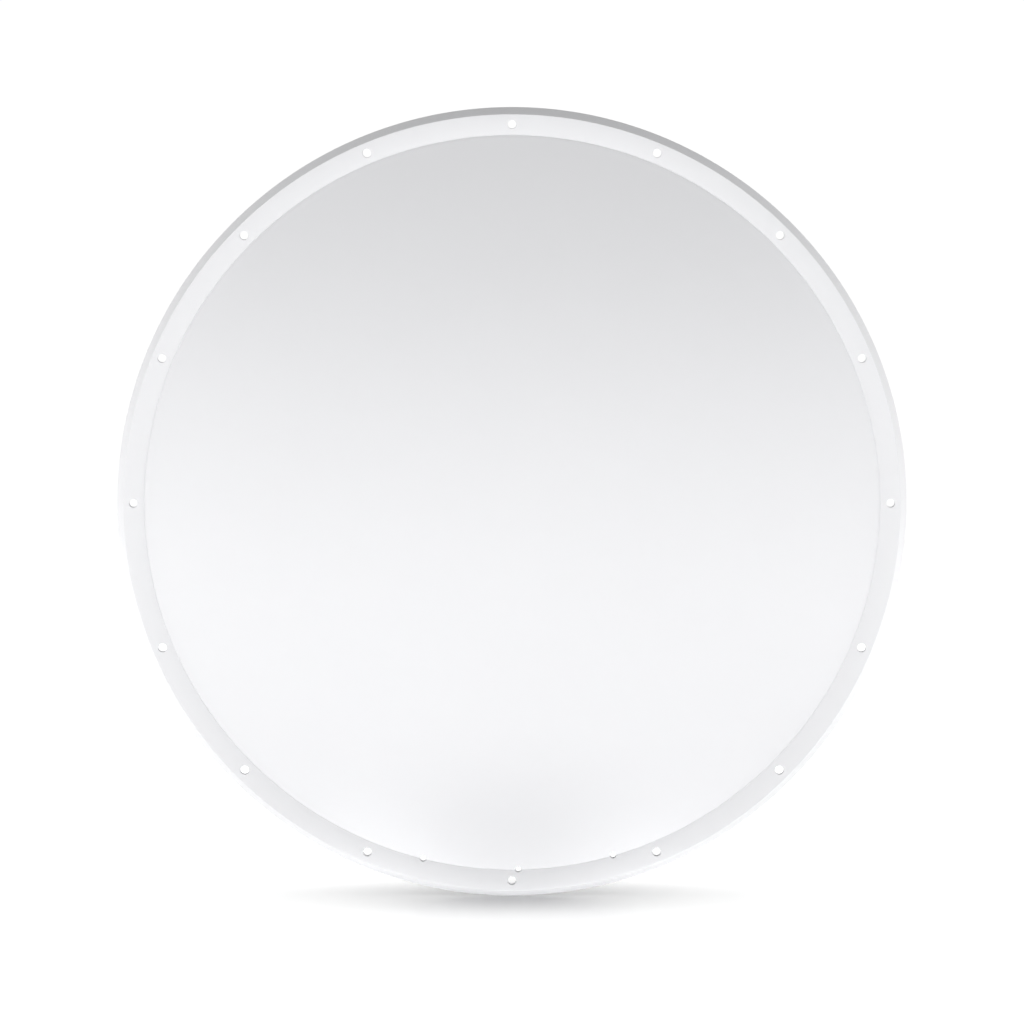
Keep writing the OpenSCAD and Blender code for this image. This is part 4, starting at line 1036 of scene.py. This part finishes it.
# ------------------------------------------------------------------ circuit boards' parts
def build_board_parts():
    ZB = -68.4
    node = ("power_parts", "control_parts")
    black, pale, alu, copper, chips = Shape(), Shape(), Shape(), Shape(), Shape()
    for x, y in ((-44, -160), (-30, -160), (-44, -142)):
        black.lathe([(0, ZB), (5.2, ZB), (5.5, ZB + 0.4), (5.5, ZB + 1.5), (5.1, ZB + 2.0), (5.05, ZB + 2.5), (5.2, ZB + 2.9), (5.5, ZB + 3.4), (5.5, -52.7), (5.3, -52.2), (4.7, -52.0), (4.6, -52.4), (0, -52.4)], 48, at(x, y))
        alu.lathe([(0, -52.7), (4.55, -52.7), (4.55, -52.35), (4.3, -52.2), (0, -52.2)], 48, at(x, y))
        for a in (0, 60, 120):
            chips.bar(-3.4, 3.4, -0.16, 0.16, -52.22, -52.14, 0.03, place=at(x, y, turn=a))
    # transformer: bobbin, taped winding, two core halves
    black.bar(-19, 11, -159, -131, ZB + 0.2, ZB + 3.0, 0.4, 1.0)
    black.bar(-13, 5, -159.4, -130.6, ZB + 3.0, ZB + 4.4, 0.3, 2.0)
    black.bar(-13, 5, -159.4, -130.6, -55.4, -54.0, 0.3, 2.0)
    pale.bar(-14, 6, -157.5, -132.5, ZB + 4.2, -55.2, 0.6, 5.0)
    chips.bar(-20, 12, -151, -139, ZB + 3.2, ZB + 7.6, 0.35)
    chips.bar(-20, 12, -151, -139, -58.2, -54.05, 0.35)
    chips.bar(-20, -14.5, -151, -139, ZB + 7.4, -58.0, 0.2)
    chips.bar(6.5, 12, -151, -139, ZB + 7.4, -58.0, 0.2)
    # ring choke with its winding
    chips.lathe([(5.9, -67.0), (10.1, -67.0), (10.4, -66.6), (10.4, -61.6), (10.1, -61.2), (5.9, -61.2), (5.6, -61.6), (5.6, -66.6)], 64, at(32, -142), loop=True)
    coil = []
    turns = 24
    for i in range(turns * 16 + 1):
        t = i / (turns * 16)
        ph, th = math.radians(15 + 330 * t), 2 * math.pi * turns * t
        cr, cz = math.cos(th), math.sin(th)
        k = (abs(cr) ** 4 + abs(cz) ** 4) ** -0.25
        rr = 8.0 + 2.55 * cr * k
        coil.append((32 + rr * math.cos(ph), -142 + rr * math.sin(ph), -64.1 + 3.3 * cz * k))
    copper.tube(coil, 0.36, 8)
    # terminal block, power devices on their sink, film capacitor, headers
    pale.bar(50, 64, -166, -150, ZB, -60.2, 0.5, 0.8)
    for i in range(3):
        pale.bar(50.4, 63.6, -165.7 + i * 5.3, -161.2 + i * 5.3, -60.4, -58.0, 0.3)
        alu.lathe([(0, -58.3), (1.0, -58.3), (1.2, -58.0), (1.5, -57.98), (1.9, -58.2), (1.9, -58.6), (0, -58.6)], 24, at(57, -163.45 + i * 5.3))
    for x in (50, 58):
        alu.bar(x, x + 4, -144, -132, ZB, -52.0, 0.35)
        for k in range(4):
            alu.bar(x - 0.9, x + 4.9, -143.4 + k * 3.4, -142.4 + k * 3.4, ZB + 4.0, -52.6, 0.2)
    pale.bar(-56, -40, -130, -112, ZB + 0.4, -60, 0.7, 1.5)
    black.bar(-30, -6, -122, -112, ZB, -62, 0.4, 0.6)
    for i in range(8):
        alu.bar(-28.6 + i * 2.9, -27.8 + i * 2.9, -117.5, -116.7, -62.2, -61.6, 0.08)
    pale.bar(62, 74, -124, -112, ZB, -61.0, 0.4, 0.6)
    pale.bar(66, 75.4, -122.6, -113.4, -66.4, -59.2, 0.4, 0.5)
    for i in range(5):
        chips.bar(2.6 + i * 7, 5.4 + i * 7, -117.6, -112.4, ZB, -66.2, 0.2)
        alu.bar(2.4 + i * 7, 5.6 + i * 7, -118.2, -117.4, ZB, -66.5, 0.1)
        alu.bar(2.4 + i * 7, 5.6 + i * 7, -112.6, -111.8, ZB, -66.5, 0.1)
    # control board: a big flat pack, two smaller ones, headers, passives, crystal and capacitor
    chips.bar(125.4, 146.6, -6.6, 14.6, -68.0, -66.0, 0.25, 0.5)
    chips.lathe([(0, -66.05), (0.9, -66.05), (1.0, -65.98), (0, -65.98)], 20, at(127.6, 12.4))
    for k in range(16):
        o = -9.0 + k * 1.2
        for (x0, x1, y0, y1) in ((136 + o - 0.25, 136 + o + 0.25, -8.4, -6.4), (136 + o - 0.25, 136 + o + 0.25, 14.4, 16.4), (123.6, 125.6, 4 + o - 0.25, 4 + o + 0.25), (146.4, 148.4, 4 + o - 0.25, 4 + o + 0.25)):
            alu.bar(x0, x1, y0, y1, ZB + 0.02, ZB + 0.5, 0.06)
    for (x0, x1, y0, y1, n) in ((113.2, 122.8, 28.6, 39.4, 7), (136.6, 155.4, 31.2, 40.8, 12)):
        chips.bar(x0, x1, y0, y1, -68.1, -66.6, 0.2, 0.3)
        w = (x1 - x0) / n
        for k in range(n):
            xx = x0 + w * (k + 0.5)
            alu.bar(xx - 0.25, xx + 0.25, y0 - 1.2, y0 + 0.2, ZB + 0.02, ZB + 0.5, 0.06)
            alu.bar(xx - 0.25, xx + 0.25, y1 - 0.2, y1 + 1.2, ZB + 0.02, ZB + 0.5, 0.06)
    for x0, x1 in ((118, 136), (144, 162)):
        pale.bar(x0, x1, -38, -26, ZB, -62.0, 0.4, 0.6)
        pale.bar(x0 + 1.2, x1 - 1.2, -40.0, -29, -66.6, -60.0, 0.4, 0.5)
    for i in range(6):
        alu.bar(112, 115, -14 + i * 6, -11 + i * 6, ZB, -67.4, 0.15)
        chips.bar(112.6, 114.4, -14 + i * 6, -11 + i * 6, ZB, -67.0, 0.15)
    for i in range(4):
        chips.bar(155.4, 159.6, -14 + i * 9, -10 + i * 9, ZB, -66.6, 0.2, 0.3)
    alu.lathe([(0, ZB), (3.1, ZB), (3.1, ZB + 0.6), (2.8, ZB + 0.9), (2.8, -62.4), (2.5, -62.0), (0, -62.0)], 32, at(122, 50))
    black.lathe([(0, ZB), (3.9, ZB), (4.0, ZB + 0.4), (4.0, ZB + 1.4), (3.7, ZB + 1.8), (4.0, ZB + 2.3), (4.0, -60.5), (3.7, -60.1), (3.3, -60.0), (3.2, -60.2), (0, -60.2)], 36, at(140, 50))
    alu.lathe([(0, -60.5), (3.15, -60.5), (3.15, -60.25), (2.9, -60.1), (0, -60.1)], 36, at(140, 50))
    black.build("board_black_parts", "black_plastic", "base", stand_for=node)
    pale.build("board_pale_parts", "window_plastic", "base", stand_for=node)
    alu.build("board_metal_parts", "sheet_aluminium", "base", stand_for=node)
    copper.build("choke_winding", "coax", "base", stand_for=node, angle=60)
    chips.build("board_chips_and_cores", "electronics", "base", stand_for=node)


build_board_parts()


# ------------------------------------------------------------------ the CAD nodes that stay
def shade_group():
    """Smooth shading with sharp edges past 32 degrees, for meshes whose own data is left alone."""
    g = bpy.data.node_groups.new("smooth_by_angle", "GeometryNodeTree")
    g.interface.new_socket(name="Geometry", in_out="INPUT", socket_type="NodeSocketGeometry")
    g.interface.new_socket(name="Geometry", in_out="OUTPUT", socket_type="NodeSocketGeometry")
    gi, go = g.nodes.new("NodeGroupInput"), g.nodes.new("NodeGroupOutput")
    ang = g.nodes.new("GeometryNodeInputMeshEdgeAngle")
    cmp = g.nodes.new("FunctionNodeCompare")
    cmp.data_type, cmp.operation = "FLOAT", "LESS_EQUAL"
    cmp.inputs[1].default_value = math.radians(32)
    f = g.nodes.new("GeometryNodeSetShadeSmooth")
    f.domain = "FACE"
    e = g.nodes.new("GeometryNodeSetShadeSmooth")
    e.domain = "EDGE"
    g.links.new(gi.outputs[0], f.inputs["Geometry"])
    g.links.new(f.outputs[0], e.inputs["Geometry"])
    g.links.new(ang.outputs[0], cmp.inputs[0])
    g.links.new(cmp.outputs[0], e.inputs["Shade Smooth"])
    g.links.new(e.outputs[0], go.inputs[0])
    return g


EDGE = {"chassis_plate": 0.5, "bearing_housing": 0.7, "transceiver_case": 0.8, "transceiver_lid": 0.5, "motor_body": 0.6, "motor_end_caps": 0.6,
        "antenna_bracket": 0.6, "array_casting": 0.5, "array_end_caps": 0.6, "array_window": 0.6, "rotary_joint_stator": 0.4, "power_board": 0.12,
        "control_board": 0.12, "board_standoffs": 0.2, "spindle_nut": 0.4, "main_gear": 0.15, "idler_gear": 0.12, "drive_pinion": 0.1,
        "waveguide_feed": 0.3, "index_sensor": 0.15, "idler_post": 0.25, "spindle": 0.4}
SHADE = shade_group()
for node, width in EDGE.items():
    if node in NODES:
        ob = NODES[node]
        b = ob.modifiers.new("edge_round", "BEVEL")
        b.width = width * 0.001
        b.segments = 2
        b.limit_method = "ANGLE"
        b.angle_limit = math.radians(40)
        b.use_clamp_overlap = True
        b.harden_normals = False
for node, ob in NODES.items():
    if not ob.hide_render:
        m = ob.modifiers.new("smooth_by_angle", "NODES")
        m.node_group = SHADE

# ------------------------------------------------------------------ floor, light, world
def make_floor():
    lo, hi = CAD_BOX
    n, rad = 96, 3.2
    z = lo.z
    vs = [(0.0, 0.0, z)] + [(rad * math.cos(2 * math.pi * i / n), rad * math.sin(2 * math.pi * i / n), z) for i in range(n)]
    me = bpy.data.meshes.new("studio_floor")
    me.from_pydata(vs, [], [(0, i + 1, (i + 1) % n + 1) for i in range(n)])
    ob = bpy.data.objects.new("studio_floor", me)
    scene.collection.objects.link(ob)
    m = bpy.data.materials.new("studio_floor")
    m.use_nodes = True
    b = m.node_tree.nodes["Principled BSDF"]
    b.inputs["Base Color"].default_value = (0.5, 0.5, 0.5, 1)
    b.inputs["Roughness"].default_value = 0.2
    b.inputs["Specular IOR Level"].default_value = 0.06
    # painted glow: the floor gives off light of its own, none near the object and rising further out, so the floor
    # turns white away from the object
    t = m.node_tree
    co = t.nodes.new("ShaderNodeTexCoord")
    ln = t.nodes.new("ShaderNodeVectorMath")
    ln.operation = "LENGTH"
    rm = t.nodes.new("ShaderNodeMapRange")
    rm.interpolation_type = "SMOOTHSTEP"
    for k, v in (("From Min", 0.5), ("From Max", 1.15), ("To Min", 0.0), ("To Max", 0.75)):
        rm.inputs[k].default_value = v
    t.links.new(co.outputs["Object"], ln.inputs[0])
    t.links.new(ln.outputs["Value"], rm.inputs["Value"])
    t.links.new(rm.outputs["Result"], b.inputs["Emission Strength"])
    b.inputs["Emission Color"].default_value = (1, 1, 1, 1)
    me.materials.append(m)
    return ob


floor = make_floor()


def make_painted_shadow_sheet():
    """A graded dark sheet just over the floor that paints the contact shadow. It is never seen itself: it only holds
    back the light on the floor, thickest where the rim stands, so the contact shadow stays small and lies there
    whatever the object does."""
    lo, hi = CAD_BOX
    n, rad = 64, 0.4
    z = lo.z + 0.0025
    vs = [(0.0, 0.0, 0.0)] + [(rad * math.cos(2 * math.pi * i / n), rad * math.sin(2 * math.pi * i / n), 0.0) for i in range(n)]
    me = bpy.data.meshes.new("painted_floor_shadow")
    me.from_pydata(vs, [], [(0, i + 1, (i + 1) % n + 1) for i in range(n)])
    ob = bpy.data.objects.new("painted_floor_shadow", me)
    ob.location = (0.0, 0.0, z)
    scene.collection.objects.link(ob)
    m = bpy.data.materials.new("painted_floor_shadow")
    m.use_nodes = True
    t = m.node_tree
    t.nodes.clear()
    out = t.nodes.new("ShaderNodeOutputMaterial")
    mx = t.nodes.new("ShaderNodeMixShader")
    tr = t.nodes.new("ShaderNodeBsdfTransparent")
    df = t.nodes.new("ShaderNodeBsdfDiffuse")
    # black where the sheet is thick: this is the painted contact shadow on the floor
    df.inputs["Color"].default_value = (0.0, 0.0, 0.0, 1.0)
    co = t.nodes.new("ShaderNodeTexCoord")
    mp = t.nodes.new("ShaderNodeMapping")
    mp.inputs["Scale"].default_value = (1 / 0.215, 1 / 0.22, 1.0)
    ln = t.nodes.new("ShaderNodeVectorMath")
    ln.operation = "LENGTH"
    rp = t.nodes.new("ShaderNodeValToRGB")
    rp.color_ramp.interpolation = "B_SPLINE"
    el = rp.color_ramp.elements
    while len(el) > 1:
        el.remove(el[-1])
    for i, (q, v) in enumerate([(0.0, 1.0), (0.12, 0.98), (0.26, 0.84), (0.45, 0.52), (0.65, 0.24), (0.85, 0.06), (1.0, 0.0)]):
        e = el[0] if i == 0 else el.new(q)
        e.position = q
        e.color = (v, v, v, 1)
    t.links.new(co.outputs["Object"], mp.inputs["Vector"])
    t.links.new(mp.outputs["Vector"], ln.inputs[0])
    t.links.new(ln.outputs["Value"], rp.inputs["Fac"])
    t.links.new(rp.outputs["Color"], mx.inputs["Fac"])
    t.links.new(tr.outputs[0], mx.inputs[1])
    t.links.new(df.outputs[0], mx.inputs[2])
    t.links.new(mx.outputs[0], out.inputs["Surface"])
    me.materials.append(m)
    ob.visible_camera = ob.visible_diffuse = ob.visible_glossy = ob.visible_transmission = False
    return ob


painted_shadow_sheet = make_painted_shadow_sheet()


def make_lights():
    w = bpy.data.worlds.new("studio")
    scene.world = w
    w.use_nodes = True
    t = w.node_tree
    t.nodes.clear()
    out = t.nodes.new("ShaderNodeOutputWorld")
    bg = t.nodes.new("ShaderNodeBackground")
    co = t.nodes.new("ShaderNodeTexCoord")
    sep = t.nodes.new("ShaderNodeSeparateXYZ")
    rm = t.nodes.new("ShaderNodeMapRange")
    rm.inputs["From Min"].default_value = -1.0
    rm.inputs["From Max"].default_value = 1.0
    ramp = t.nodes.new("ShaderNodeValToRGB")
    t.links.new(co.outputs["Generated"], sep.inputs[0])
    t.links.new(sep.outputs["Z"], rm.inputs["Value"])
    t.links.new(rm.outputs["Result"], ramp.inputs["Fac"])
    el = ramp.color_ramp.elements
    while len(el) > 1:
        el.remove(el[-1])
    stops = [(-1.0, 1.0), (0.0, 1.0), (0.12, 1.04), (0.25, 1.0), (0.36, 0.64), (0.5, 0.25), (0.62, 0.03), (0.74, 0.06), (0.86, 0.72), (1.0, 0.84)]
    for i, (s, v) in enumerate(stops):
        e = el[0] if i == 0 else el.new((s + 1) / 2)
        e.position = (s + 1) / 2
        e.color = (v, v, v, 1)
    t.links.new(ramp.outputs["Color"], bg.inputs["Color"])
    bg.inputs["Strength"].default_value = 1.03
    t.links.new(bg.outputs[0], out.inputs[0])

    def linked(name, objects, state):
        coll = bpy.data.collections.new(name)
        for o in objects:
            coll.objects.link(o)
        for c in coll.collection_objects:
            c.light_linking.link_state = state
        return coll

    def area(name, loc, target, size, energy, only=None, skip=None, shade_by=None, unshaded_by=None):
        ld = bpy.data.lights.new(name, "AREA")
        ld.shape = "RECTANGLE"
        ld.size, ld.size_y = size
        ld.energy = energy
        ob = bpy.data.objects.new(name, ld)
        scene.collection.objects.link(ob)
        ob.location = loc
        ob.rotation_euler = (Vector(target) - Vector(loc)).to_track_quat("-Z", "Y").to_euler()
        ob.visible_camera = False
        if only or skip:
            ob.light_linking.receiver_collection = linked(name + "_lit", only or skip, "INCLUDE" if only else "EXCLUDE")
        if shade_by or unshaded_by:
            ob.light_linking.blocker_collection = linked(name + "_shade", shade_by or unshaded_by, "INCLUDE" if shade_by else "EXCLUDE")
        return ob

    fz = CAD_BOX[0].z
    # the painted shadow sheet shades only the floor: the lamps on the object pass through it
    area("front_softbox", (0, -5.0, 0.2), (0, 0, 0), (4.0, 3.0), 8.0, skip=[floor], unshaded_by=[painted_shadow_sheet])
    area("low_glow", (0, -0.35, fz - 0.15), (0, -0.06, -0.245), (0.55, 0.08), 0.115, skip=[floor], unshaded_by=[floor, painted_shadow_sheet])
    area("low_front", (0, -4.0, -1.7), (0, 0, 0), (5.0, 2.0), 3.0, skip=[floor], unshaded_by=[floor, painted_shadow_sheet])
    area("left_soft", (-4.0, -1.6, 0.3), (0, 0, 0), (2.0, 2.5), 8.0, skip=[floor], unshaded_by=[painted_shadow_sheet])
    area("floor_wash", (0, 0.55, 2.9), (0, 0.15, fz), (3.2, 1.5), 40.0, only=[floor])
    # floor_top is shaded by the painted shadow sheet alone, not by the object
    area("floor_top", (0, 0.25, 3.0), (0, 0.1, fz), (4.0, 2.6), 215.0, only=[floor], shade_by=[painted_shadow_sheet])
    area("under_strip", (0, -0.06, fz - 0.035), (0, 0.01, fz + 0.02), (0.34, 0.03), 0.042, only=[radome], shade_by=[radome])
    area("lip_strip", (0, -0.016, fz - 0.03), (0, -0.002, fz + 0.02), (0.4, 0.02), 0.036, only=[radome], shade_by=[radome])



make_lights()
scene.view_settings.view_transform = "Standard"
scene.view_settings.look = "None"
scene.view_settings.exposure = 0.0
scene.view_settings.gamma = 1.0
